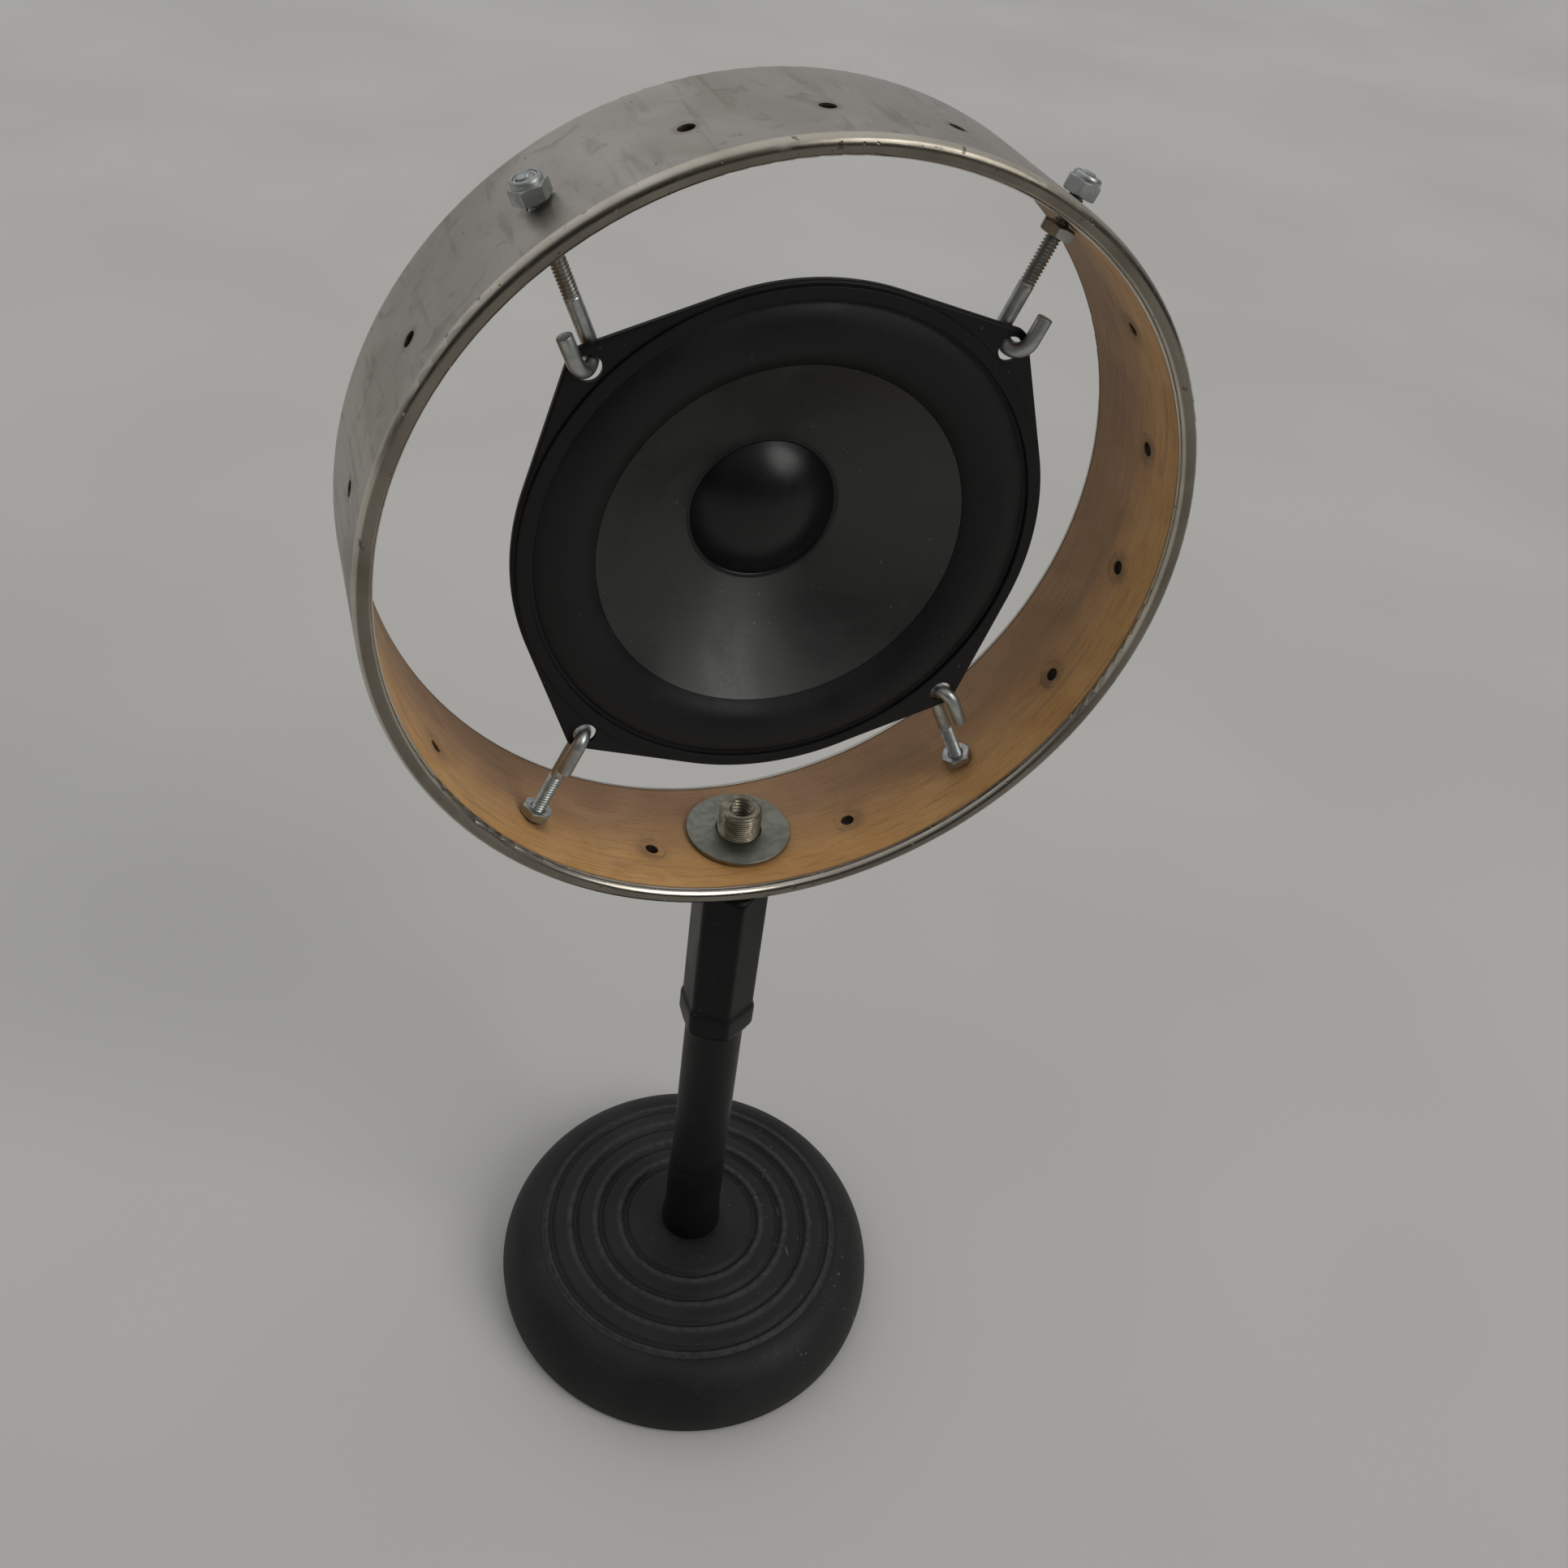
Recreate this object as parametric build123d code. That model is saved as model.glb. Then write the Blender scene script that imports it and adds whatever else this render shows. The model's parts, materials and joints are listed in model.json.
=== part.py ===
from build123d import *
import math
import os

# A low-frequency drum microphone: a small woofer hung by four hook bolts inside an upright
# metal-clad wooden drum shell, on a round-base desk microphone stand.
# Millimetres. Origin at the centre of the base's underside, +Z up, the speaker faces -Y.

# --- driving dimensions: stand ---
BASE_R = 86.6
BASE_WIDEST_Z = 8.0
BASE_TOP_Z = 37.5
BASE_FOOT_GAP = 1.5
RING_GROOVES_R = (30.3, 41.7, 53.3, 64.5, 68.2)
LOWER_TUBE_R = 11.85
LOWER_TUBE_WALL = 1.2
LOWER_TUBE_TOP = 186.0
SLEEVE_TOP = 85.0
GRIP_BOTTOM = 178.5
GRIP_BULGE_Z = 189.0
GRIP_BULGE_R = 15.25
GRIP_TOP = 256.0
GRIP_ARRIS_R = 14.4
GRIP_CORE_R = 10.75
UPPER_TUBE_R = 8.0
UPPER_TUBE_BOTTOM = 60.0
RUNNING_GAP = 0.08

# --- driving dimensions: threaded stub, 5/8 in outside and 3/8 in inside ---
STUB_R = 15.875 / 2
STUB_BORE_R = 4.1
STUB_HEIGHT_ABOVE_WASHER = 9.8
STUB_BORE_DEPTH = 16.0
FENDER_WASHER_R = 38.1 / 2
WASHER_T = 1.6

# --- driving dimensions: drum shell, axis along Y ---
SHELL_R = 130.0
SHELL_HALF_DEPTH = 29.75
SHELL_Z = 403.0
SKIN_T = 0.6
LINER_INNER_R = 124.3
LINER_GAP = 0.05
ROLL_R = (SHELL_R - LINER_INNER_R) / 2
ROLL_START = SHELL_HALF_DEPTH - ROLL_R
BRACKET_HOLE_R = 2.4
BRACKET_PLANE_Y = -7.0
EMPTY_HOLE_ANGLES = (18.5, 61.3, 82.4, 103.1, 123.6, 164.8, 181.2, 197.6, 237.0, 257.2, 278.5, 300.5, 344.0)

# --- driving dimensions: speaker, axis along Y, depths measured back from the flange's front ---
SPEAKER_X = 0.0
SPEAKER_Z = SHELL_Z + 2.8
SPEAKER_FRONT_Y = -12.2
SPEAKER_ROLL = -1.0
FLANGE_R = 84.3
FLANGE_T = 1.2
FLANGE_LIP_DEPTH = 2.5
EAR_TIP_R = 94.0
EAR_CORNER_R = 5.0
EAR_HOLE_PITCH_R = 87.8
EAR_HOLE_R = 3.8
EAR_ANGLES = (45, 135, 225, 315)
SURROUND_OUTER_R = 80.0
CONE_R = 58.7
CONE_EDGE_DEPTH = 4.0
DUST_CAP_R = 23.7
DUST_CAP_DEPTH = 25.7
COIL_FORMER_R = 13.0
CONE_NECK_DEPTH = 31.0
SPIDER_DEPTH = 33.0
BASKET_BACK_DEPTH = 37.2
MAGNET_R = 36.0
PLATE_R = 33.0
TOP_PLATE_T = 4.0
MAGNET_T = 12.0
YOKE_T = 4.0
POLE_R = 12.4
GAP_R = 14.0
BODY_GAP = 0.1

# --- driving dimensions: hook bolts, No. 10 ---
BOLT_R = 2.4
HOOK_PITCH_Y = 8.2
HEX_AF = 9.5
INNER_NUT_T = 3.2
LOCK_NUT_T = 6.0
BOLT_PROUD = 0.6
# name: (shell angle from the bottom towards +X, ear angle from +X, twist of the hook to the right, tip length)
HOOKS = {
    "top_left": (216.8, 135, -36.0, 7.5),
    "top_right": (144.8, 45, 36.0, 7.5),
    "bottom_left": (322.0, 225, -18.0, 10.0),
    "bottom_right": (39.9, 315, 28.0, 9.5),
}

# --- derived sizes ---
SHELL_BOTTOM_Z = SHELL_Z - SHELL_R
WASHER_RISE = LINER_INNER_R - math.sqrt(LINER_INNER_R**2 - FENDER_WASHER_R**2)
FENDER_WASHER_Z = SHELL_Z - LINER_INNER_R + WASHER_RISE
STUB_TOP = FENDER_WASHER_Z + WASHER_T + STUB_HEIGHT_ABOVE_WASHER
SHELL_CLEARANCE = 0.3
LOWER_WASHER_TOP = SHELL_BOTTOM_Z - SHELL_CLEARANCE
JAM_NUT_T = 5.0
JAM_NUT_AF = 22.2
JAM_NUT_TOP = LOWER_WASHER_TOP - WASHER_T
UPPER_TUBE_TOP = JAM_NUT_TOP - JAM_NUT_T - 3.0
SHELL_HOLE_R = STUB_R + 0.3


def turned(points, axis=Axis.Z):
    """A solid of revolution from (radius, height) points, about Z or Y."""
    along_y = axis == Axis.Y
    corners = [(r, a, 0) if along_y else (r, 0, a) for r, a in points]
    return revolve(Face(Wire.make_polygon(corners, close=True)), axis, 360)


def tube_between(r_in, r_out, low, high, axis=Axis.Z):
    """A plain ring or tube between two heights."""
    return turned([(r_in, low), (r_out, low), (r_out, high), (r_in, high)], axis)


def rod(start, direction, radius, length):
    """A cylinder from a start point along a direction."""
    end = Plane(origin=start, z_dir=direction)
    return extrude(end * Circle(radius), length)


def hex_nut(seat, direction, across_flats, thickness, hole_r):
    """A hexagon nut with chamfered corners, standing on its seat along a direction."""
    seat_plane = Plane(origin=seat, z_dir=direction)
    corner_r = across_flats / math.sqrt(3)
    prism = extrude(seat_plane * RegularPolygon(corner_r, 6), thickness)
    chamfer_h = 0.12 * across_flats
    crown = turned(
        [
            (0, 0),
            (corner_r + 0.2, 0),
            (corner_r + 0.2, thickness - chamfer_h),
            (across_flats * 0.46, thickness),
            (0, thickness),
        ]
    )
    bore = extrude(seat_plane * Circle(hole_r), thickness)
    return (prism & seat_plane.location * crown) - bore


def shell_point(angle, radius, y=BRACKET_PLANE_Y):
    """A point in the drum shell, by angle from the bottom towards +X."""
    a = math.radians(angle)
    return Vector(radius * math.sin(a), y, SHELL_Z - radius * math.cos(a))


def save(node, shape):
    """Writes one sub-part."""
    export_step(shape, f"parts/{node}.step")


# --- stand ---
def base_casting():
    """Round cast base: a domed edge, a gently rising top with ring grooves, and a hub."""
    rim_in = BASE_R - 2.5
    shoulder_r = RING_GROOVES_R[-1] + 1.5
    shoulder_z = 32.6
    hub_r = 16.0
    cavity_r = 78.0
    cavity_z = 14.0
    tube_seat_r = LOWER_TUBE_R + 0.02
    outline = [
        Line((0, 0, BASE_FOOT_GAP), (rim_in, 0, BASE_FOOT_GAP)),
        ThreePointArc((rim_in, 0, BASE_FOOT_GAP), (BASE_R - 0.6, 0, 4.4), (BASE_R, 0, BASE_WIDEST_Z)),
        ThreePointArc((BASE_R, 0, BASE_WIDEST_Z), (BASE_R - 5, 0, 22.5), (shoulder_r, 0, shoulder_z)),
        Line((shoulder_r, 0, shoulder_z), (hub_r, 0, BASE_TOP_Z)),
        Line((hub_r, 0, BASE_TOP_Z), (0, 0, BASE_TOP_Z)),
        Line((0, 0, BASE_TOP_Z), (0, 0, BASE_FOOT_GAP)),
    ]
    body = revolve(Face(Wire(outline)), Axis.Z, 360)
    slope = (BASE_TOP_Z - shoulder_z) / (shoulder_r - hub_r)
    for groove_r in RING_GROOVES_R:
        groove_z = BASE_TOP_Z - slope * (groove_r - hub_r)
        body -= tube_between(groove_r - 0.7, groove_r + 0.7, groove_z - 0.9, groove_z + 2.0)
    hollow = [(0, 0), (cavity_r, 0), (cavity_r - 6, cavity_z), (26, cavity_z + 4), (0, cavity_z + 4)]
    body -= turned(hollow)
    return body - Cylinder(tube_seat_r, 2 * BASE_TOP_Z + 2)


def base_pad():
    """Rubber ring that the base stands on."""
    return tube_between(BASE_R - 8.0, BASE_R - 3.5, 0, BASE_FOOT_GAP)


def foot_collar():
    """Low moulded collar where the tube enters the base."""
    bottom = BASE_TOP_Z
    bore = LOWER_TUBE_R + 0.65
    return turned(
        [
            (bore, bottom),
            (12.9, bottom),
            (13.3, bottom + 1.2),
            (13.4, bottom + 3.5),
            (13.2, bottom + 7.0),
            (12.7, bottom + 12.0),
            (bore, bottom + 12.5),
        ]
    )


def tube_sleeve():
    """Thin sleeve round the foot of the lower tube, tapering to nothing at its top."""
    low = BASE_TOP_Z
    outer = LOWER_TUBE_R + 0.62
    taper = 9.0
    return turned(
        [
            (LOWER_TUBE_R, low),
            (outer, low),
            (outer, SLEEVE_TOP - taper),
            (LOWER_TUBE_R + 0.12, SLEEVE_TOP),
            (LOWER_TUBE_R, SLEEVE_TOP),
        ]
    )


def lower_tube():
    """Outer tube of the stand, screwed into the base."""
    return tube_between(LOWER_TUBE_R - LOWER_TUBE_WALL, LOWER_TUBE_R, 20, LOWER_TUBE_TOP)


def clutch_bush():
    """Threaded bush pressed into the top of the lower tube; the grip turns on it."""
    plug_r = LOWER_TUBE_R - LOWER_TUBE_WALL
    thread_r = GRIP_CORE_R - 0.35
    bore = UPPER_TUBE_R + RUNNING_GAP
    return turned(
        [(bore, 160), (plug_r, 160), (plug_r, LOWER_TUBE_TOP), (thread_r, LOWER_TUBE_TOP), (thread_r, 222), (bore, 222)]
    )


def clutch_collet():
    """Split nylon collet above the bush, squeezed by the grip onto the inner tube."""
    bore = UPPER_TUBE_R + RUNNING_GAP
    ring = turned([(bore, 222.1), (10.2, 222.1), (10.2, 232), (9.2, 240), (bore, 240)])
    slit = Pos(0, 0, 231) * Box(1.6, 24, 22)
    return ring - Pos(0, 6, 0) * slit


# --- clutch grip ---
def clutch_grip():
    """Six-sided grip with rounded arrises on a domed round lip, bored for bush and tubes."""
    flat_r = GRIP_ARRIS_R * math.cos(math.radians(30)) + 0.4
    hexagon = fillet(RegularPolygon(flat_r + 0.15, 6, major_radius=False, rotation=30).vertices(), 2.2)
    prism = extrude(Pos(0, 0, GRIP_BULGE_Z - 4) * Rot(0, 0, 90) * hexagon, GRIP_TOP - GRIP_BULGE_Z + 4)
    lip_outer = LOWER_TUBE_R + 1.0
    corner = GRIP_BULGE_R - lip_outer
    middle = corner * math.sqrt(0.5)
    corner_top = (GRIP_BULGE_R, 0, GRIP_BOTTOM + corner)
    lip = [
        Line((0, 0, GRIP_BOTTOM), (lip_outer, 0, GRIP_BOTTOM)),
        ThreePointArc(
            (lip_outer, 0, GRIP_BOTTOM), (lip_outer + middle, 0, GRIP_BOTTOM + corner - middle), corner_top
        ),
        Line(corner_top, (GRIP_BULGE_R, 0, GRIP_BULGE_Z + 0.6)),
        Line((GRIP_BULGE_R, 0, GRIP_BULGE_Z + 0.6), (GRIP_BULGE_R - 0.7, 0, GRIP_BULGE_Z + 1.5)),
        Line((GRIP_BULGE_R - 0.7, 0, GRIP_BULGE_Z + 1.5), (0, 0, GRIP_BULGE_Z + 1.5)),
        Line((0, 0, GRIP_BULGE_Z + 1.5), (0, 0, GRIP_BOTTOM)),
    ]
    crown = turned([(0, 170), (18, 170), (18, GRIP_TOP - 2.5), (12.2, GRIP_TOP), (0, GRIP_TOP)])
    bore = turned(
        [
            (0, GRIP_BOTTOM - 1),
            (LOWER_TUBE_R + 0.35, GRIP_BOTTOM - 1),
            (LOWER_TUBE_R + 0.35, LOWER_TUBE_TOP + 0.4),
            (GRIP_CORE_R, LOWER_TUBE_TOP + 0.4),
            (GRIP_CORE_R, 236),
            (9.6, 243),
            (UPPER_TUBE_R + 0.4, 243),
            (UPPER_TUBE_R + 0.4, GRIP_TOP + 1),
            (0, GRIP_TOP + 1),
        ]
    )
    return ((prism + revolve(Face(Wire(lip)), Axis.Z, 360)) & crown) - bore


# --- upper tube ---
def upper_tube():
    """Inner tube that slides in the bush."""
    return tube_between(6.5, UPPER_TUBE_R, UPPER_TUBE_BOTTOM, UPPER_TUBE_TOP)


def thread_stub():
    """Threaded adapter: a neck in the tube, a 5/8 in thread outside and a 3/8 in thread inside."""
    relief_top = FENDER_WASHER_Z + WASHER_T + 0.1
    relief_bottom = relief_top - 0.9
    relief_r = STUB_R - 0.5
    chamfer = 0.8
    bore_chamfer = 0.6
    neck = UPPER_TUBE_TOP - 12
    return turned(
        [
            (0, neck),
            (6.5, neck),
            (6.5, UPPER_TUBE_TOP),
            (STUB_R, UPPER_TUBE_TOP),
            (STUB_R, relief_bottom),
            (relief_r, relief_bottom),
            (relief_r, relief_top),
            (STUB_R, relief_top),
            (STUB_R, STUB_TOP - chamfer),
            (STUB_R - chamfer, STUB_TOP),
            (STUB_BORE_R + bore_chamfer, STUB_TOP),
            (STUB_BORE_R, STUB_TOP - bore_chamfer),
            (STUB_BORE_R, STUB_TOP - STUB_BORE_DEPTH),
            (0, STUB_TOP - STUB_BORE_DEPTH),
        ]
    )


def jam_nut():
    """Thin hexagon nut on the stub, under the shell."""
    return hex_nut((0, 0, JAM_NUT_TOP - JAM_NUT_T), (0, 0, 1), JAM_NUT_AF, JAM_NUT_T, STUB_R)


def lower_washer():
    """Washer between the jam nut and the shell."""
    return tube_between(STUB_R + 0.2, 16, JAM_NUT_TOP, LOWER_WASHER_TOP)


# --- drum shell ---
class Hook:
    """The line of one hook bolt: a straight shank, a half-turn bend through an ear, and a tip."""

    def __init__(self, shell_angle, ear_angle, twist, tip_length):
        ear = math.radians(ear_angle - SPEAKER_ROLL)
        hole = Vector(
            SPEAKER_X + EAR_HOLE_PITCH_R * math.cos(ear),
            BRACKET_PLANE_Y - HOOK_PITCH_Y / 2,
            SPEAKER_Z + EAR_HOLE_PITCH_R * math.sin(ear),
        )
        turn = math.radians(twist)
        bend_r = HOOK_PITCH_Y / math.cos(turn) / 2
        self.seat = shell_point(shell_angle, LINER_INNER_R)
        self.inward = (Vector(hole.X, BRACKET_PLANE_Y, hole.Z) - self.seat).normalized()
        for _ in range(8):
            across = Vector(-self.inward.Z, 0, self.inward.X)
            if across.X < 0:
                across = across * -1
            offset = Vector(0, -math.cos(turn), 0) + across * math.sin(turn)
            centre = hole - self.inward * bend_r
            shank_end = centre - offset * bend_r
            self.inward = (shank_end - self.seat).normalized()
        self.shank_end = shank_end
        self.tip_length = tip_length
        self.bend_centre = centre
        self.offset = offset
        self.tip_start = centre + offset * bend_r


def hook_bolt(hook):
    """Round rod: a straight shank through the shell, a half-turn bend and a tip cut flat."""
    wall = SHELL_R - LINER_INNER_R
    reach = (hook.shank_end - hook.seat).length + wall + LOCK_NUT_T + BOLT_PROUD + tilt_gap(hook)
    section = Plane(origin=hook.shank_end, z_dir=hook.inward) * Circle(BOLT_R)
    shank = extrude(section, reach, dir=hook.inward * -1)
    bend = revolve(section, Axis(hook.bend_centre, hook.inward.cross(hook.offset)), 180)
    return shank + bend + rod(hook.tip_start, hook.inward * -1, BOLT_R, hook.tip_length)


def tilt_gap(hook):
    """How far a nut's face stands off the curved shell at its middle, because the bolt leans."""
    radial = Vector(0, BRACKET_PLANE_Y, SHELL_Z) - hook.seat
    lean = math.radians(hook.inward.get_angle(radial))
    corner_r = HEX_AF / math.sqrt(3)
    return corner_r * math.tan(lean) + 0.2


def inner_hex_nut(hook):
    """Plain nut against the wooden liner."""
    return hex_nut(hook.seat + hook.inward * tilt_gap(hook), hook.inward, HEX_AF, INNER_NUT_T, BOLT_R)


def lock_nut_seat(hook):
    """Where the outer lock nut's face stands, just clear of the skin."""
    wall = SHELL_R - LINER_INNER_R
    return hook.seat - hook.inward * (wall + tilt_gap(hook))


def outer_lock_nut(hook):
    """Nylon-insert nut outside the skin: a hexagon and a round collar rolled over the insert."""
    outward = hook.inward * -1
    seat = lock_nut_seat(hook)
    hexagon_t = 4.2
    insert_r = 3.3
    insert_low = 4.9
    collar_r = HEX_AF * 0.46
    hexagon = hex_nut(seat, outward, HEX_AF, hexagon_t, BOLT_R)
    collar = turned(
        [
            (BOLT_R, hexagon_t - 0.2),
            (collar_r, hexagon_t - 0.2),
            (collar_r, LOCK_NUT_T - 0.7),
            (collar_r - 0.8, LOCK_NUT_T),
            (insert_r, LOCK_NUT_T),
            (insert_r, insert_low),
            (BOLT_R, insert_low),
        ]
    )
    return hexagon + Plane(origin=seat, z_dir=outward).location * collar


def nylon_insert(hook):
    """Nylon ring in the lock nut's collar."""
    outward = hook.inward * -1
    ring = tube_between(BOLT_R, 3.3, 4.9, LOCK_NUT_T - 0.3)
    return Plane(origin=lock_nut_seat(hook), z_dir=outward).location * ring


def shell_holes(hooks):
    """The eighteen holes of the shell: thirteen empty, four for the bolts, one for the stub."""
    holes = []
    for angle in EMPTY_HOLE_ANGLES:
        start = shell_point(angle, LINER_INNER_R - 3)
        holes.append(rod(start, start - Vector(0, BRACKET_PLANE_Y, SHELL_Z), BRACKET_HOLE_R, 12))
    for hook in hooks:
        holes.append(rod(hook.seat + hook.inward * 3, hook.inward * -1, BOLT_R + 0.2, 16))
    holes.append(Pos(0, 0, SHELL_BOTTOM_Z) * Cylinder(SHELL_HOLE_R, 20))
    return holes


def end_arc(radius, a):
    """Half circle over one end of the shell's wall, standing at a distance a along the axis."""
    middle_r = SHELL_R - ROLL_R
    top = a + math.copysign(radius, a)
    return ThreePointArc((middle_r - radius, a), (middle_r, top), (middle_r + radius, a))


def shell_ring(outline, holes):
    """A ring about the shell's axis from a closed outline, with the shell's holes in it."""
    ring = Pos(0, 0, SHELL_Z) * revolve(Face(Wire(outline)), Axis.Y, 360)
    for hole in holes:
        ring -= hole
    return ring


def metal_skin(holes):
    """Sheet-metal skin: plain outside, its edges rolled round over the ends of the wood."""
    back_r = SHELL_R - SKIN_T
    outline = [
        Line((SHELL_R, -ROLL_START), (SHELL_R, ROLL_START)),
        Line((back_r, -ROLL_START), (back_r, ROLL_START)),
    ]
    for a in (-ROLL_START, ROLL_START):
        outline += [
            end_arc(ROLL_R, a),
            end_arc(ROLL_R - SKIN_T, a),
            Line((LINER_INNER_R, a), (LINER_INNER_R + SKIN_T, a)),
        ]
    return shell_ring(outline, holes)


def wood_liner(holes):
    """Bent wooden shell inside the skin, with rounded ends under the rolled edges."""
    start = ROLL_START - LINER_GAP
    inner_r = LINER_INNER_R + LINER_GAP
    outer_r = SHELL_R - SKIN_T - LINER_GAP
    shoulder_r = LINER_INNER_R + SKIN_T + LINER_GAP
    outline = [Line((outer_r, -start), (outer_r, start)), Line((inner_r, -start), (inner_r, start))]
    for a in (-start, start):
        outline += [end_arc(ROLL_R - SKIN_T - LINER_GAP, a), Line((inner_r, a), (shoulder_r, a))]
    return shell_ring(outline, holes)


def fender_washer():
    """Large washer on the liner, round the stub."""
    top = FENDER_WASHER_Z + WASHER_T
    return tube_between(SHELL_HOLE_R, FENDER_WASHER_R, FENDER_WASHER_Z, top)


# --- speaker, built about the Y axis with its flange's front at y = 0 ---
def placed(shape):
    """Moves a speaker part from its own frame to its place in the shell."""
    return Pos(SPEAKER_X, SPEAKER_FRONT_Y, SPEAKER_Z) * Rot(0, SPEAKER_ROLL, 0) * shape


def on_front(shape):
    """Stands a flat outline, drawn on XY, upright in the plane of the flange, extruding backwards."""
    return Rot(-90, 0, 0) * shape


def flange_outline(inset=0.0):
    """Round flange with four ears joined to it by tangent edges."""
    big_r = FLANGE_R - inset
    corner_r = EAR_CORNER_R - inset
    ear_centre_r = EAR_TIP_R - EAR_CORNER_R
    tangent = math.degrees(math.acos((big_r - corner_r) / ear_centre_r))
    outline = Circle(big_r)
    for ear in EAR_ANGLES:
        centre = Vector(ear_centre_r, 0).rotate(Axis.Z, ear)
        edge_points = []
        for side in (-1, 1):
            on_circle = Vector(big_r, 0).rotate(Axis.Z, ear + side * tangent)
            on_corner = centre + Vector(corner_r, 0).rotate(Axis.Z, ear + side * tangent)
            edge_points.append([on_circle, on_corner])
        (a, b), (d, c) = edge_points
        outline += Face(Wire.make_polygon([(0, 0), a, b, centre, c, d], close=True))
        outline += Location(centre) * Circle(corner_r)
    return outline


def speaker_basket():
    """Stamped frame: an eared flange with a turned-back edge, sloping arms, and a back ring."""
    edge_t = 1.2
    plate = extrude(flange_outline(), FLANGE_T)
    edge = extrude(flange_outline(), FLANGE_LIP_DEPTH) - extrude(flange_outline(edge_t), FLANGE_LIP_DEPTH)
    flange = plate + edge
    for ear in EAR_ANGLES:
        centre = Vector(EAR_HOLE_PITCH_R, 0).rotate(Axis.Z, ear)
        flange -= Location(centre) * Cylinder(EAR_HOLE_R, 3 * FLANGE_T)
    bowl = turned(
        [
            (79.0, 0.0),
            (81.0, 0.0),
            (81.0, 3.0),
            (76.5, 10.0),
            (44.0, SPIDER_DEPTH - 2),
            (38.0, SPIDER_DEPTH + 1),
            (36.5, BASKET_BACK_DEPTH),
            (GAP_R + 1, BASKET_BACK_DEPTH),
            (GAP_R + 1, BASKET_BACK_DEPTH - 1.2),
            (34.9, BASKET_BACK_DEPTH - 1.2),
            (36.4, SPIDER_DEPTH),
            (42.6, SPIDER_DEPTH - 3.2),
            (75.0, 9.0),
            (79.0, 3.0),
        ]
    )
    opening = Pos(0, 0, 5) * Cylinder(79.0, 20)
    frame = (flange - opening) + bowl
    window = Pos(60, 0, 19.5) * Box(26, 34, 15)
    for ear in EAR_ANGLES:
        frame -= Rot(0, 0, ear + 45) * window
    return placed(on_front(frame))


def front_gasket():
    """Ring that clamps the surround's outer edge to the flange."""
    return placed(on_front(tube_between(79.2, 83.0, -1.2, 0)))


def surround():
    """Rubber half-roll between the gasket and the cone, thin-walled."""
    inner = CONE_R + BODY_GAP
    rise = -2.2
    wall = 0.9
    outside = [
        Edge.make_line((inner, 0, CONE_EDGE_DEPTH), (inner, 0, CONE_EDGE_DEPTH - wall)),
        Edge.make_three_point_arc((inner, 0, CONE_EDGE_DEPTH - wall), (68.5, 0, rise), (78.0, 0, 0.2)),
        Edge.make_line((78.0, 0, 0.2), (78.9, 0, 0.2)),
        Edge.make_line((78.9, 0, 0.2), (78.9, 0, 0.2 + wall)),
        Edge.make_line((78.9, 0, 0.2 + wall), (77.6, 0, 0.2 + wall)),
        Edge.make_three_point_arc((77.6, 0, 0.2 + wall), (68.5, 0, rise + wall), (inner, 0, CONE_EDGE_DEPTH)),
    ]
    return placed(on_front(revolve(Face(Wire(outside)), Axis.Z, 360)))


def spider():
    """Corrugated disc between the coil former and the frame."""
    inner = COIL_FORMER_R + BODY_GAP
    outer = 36.0
    waves = 4
    step = (outer - inner) / (2 * waves + 1)
    wall = 0.5
    upper = []
    for i in range(2 * waves + 2):
        swing = 0.0 if i in (0, 2 * waves + 1) else 0.9 * (-1) ** i
        upper.append((inner + step * i, SPIDER_DEPTH - 1.4 + swing))
    lower = [(r, a + wall) for r, a in reversed(upper)]
    return placed(on_front(turned(upper + lower)))


def top_plate():
    """Front pole plate of the magnet."""
    return placed(on_front(tube_between(GAP_R, PLATE_R, BASKET_BACK_DEPTH, BASKET_BACK_DEPTH + TOP_PLATE_T)))


def magnet():
    """Ferrite ring."""
    front = BASKET_BACK_DEPTH + TOP_PLATE_T
    return placed(on_front(tube_between(16, MAGNET_R, front, front + MAGNET_T)))


def magnet_yoke():
    """Back plate and pole in one piece."""
    back = BASKET_BACK_DEPTH + TOP_PLATE_T + MAGNET_T
    outline = [
        (0, BASKET_BACK_DEPTH),
        (POLE_R, BASKET_BACK_DEPTH),
        (POLE_R, back),
        (PLATE_R, back),
        (PLATE_R, back + YOKE_T - 0.8),
        (PLATE_R - 0.8, back + YOKE_T),
        (0, back + YOKE_T),
    ]
    return placed(on_front(turned(outline)))


def terminal_board():
    """Fibre board for the solder tags, standing on the back ring behind one arm."""
    board = Pos(0, -40.5, BASKET_BACK_DEPTH + 1.6) * Box(22, 14, 1.2)
    foot = Pos(0, -34.4, BASKET_BACK_DEPTH + 0.6) * Box(16, 1.8, 1.2)
    return placed(on_front(Rot(0, 0, 135) * (board + foot)))


def solder_tags():
    """Two brass tags, broad for + and narrow for -."""
    tags = []
    for x, width in ((-6, 4.8), (6, 2.8)):
        tag = Pos(x, -45.5, BASKET_BACK_DEPTH + 2.6) * Box(width, 9, 0.8)
        eyelet = Pos(x, -48.2, BASKET_BACK_DEPTH + 2.6) * Cylinder(0.8, 2)
        tags.append(placed(on_front(Rot(0, 0, 135) * (tag - eyelet))))
    return Compound(tags)


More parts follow.
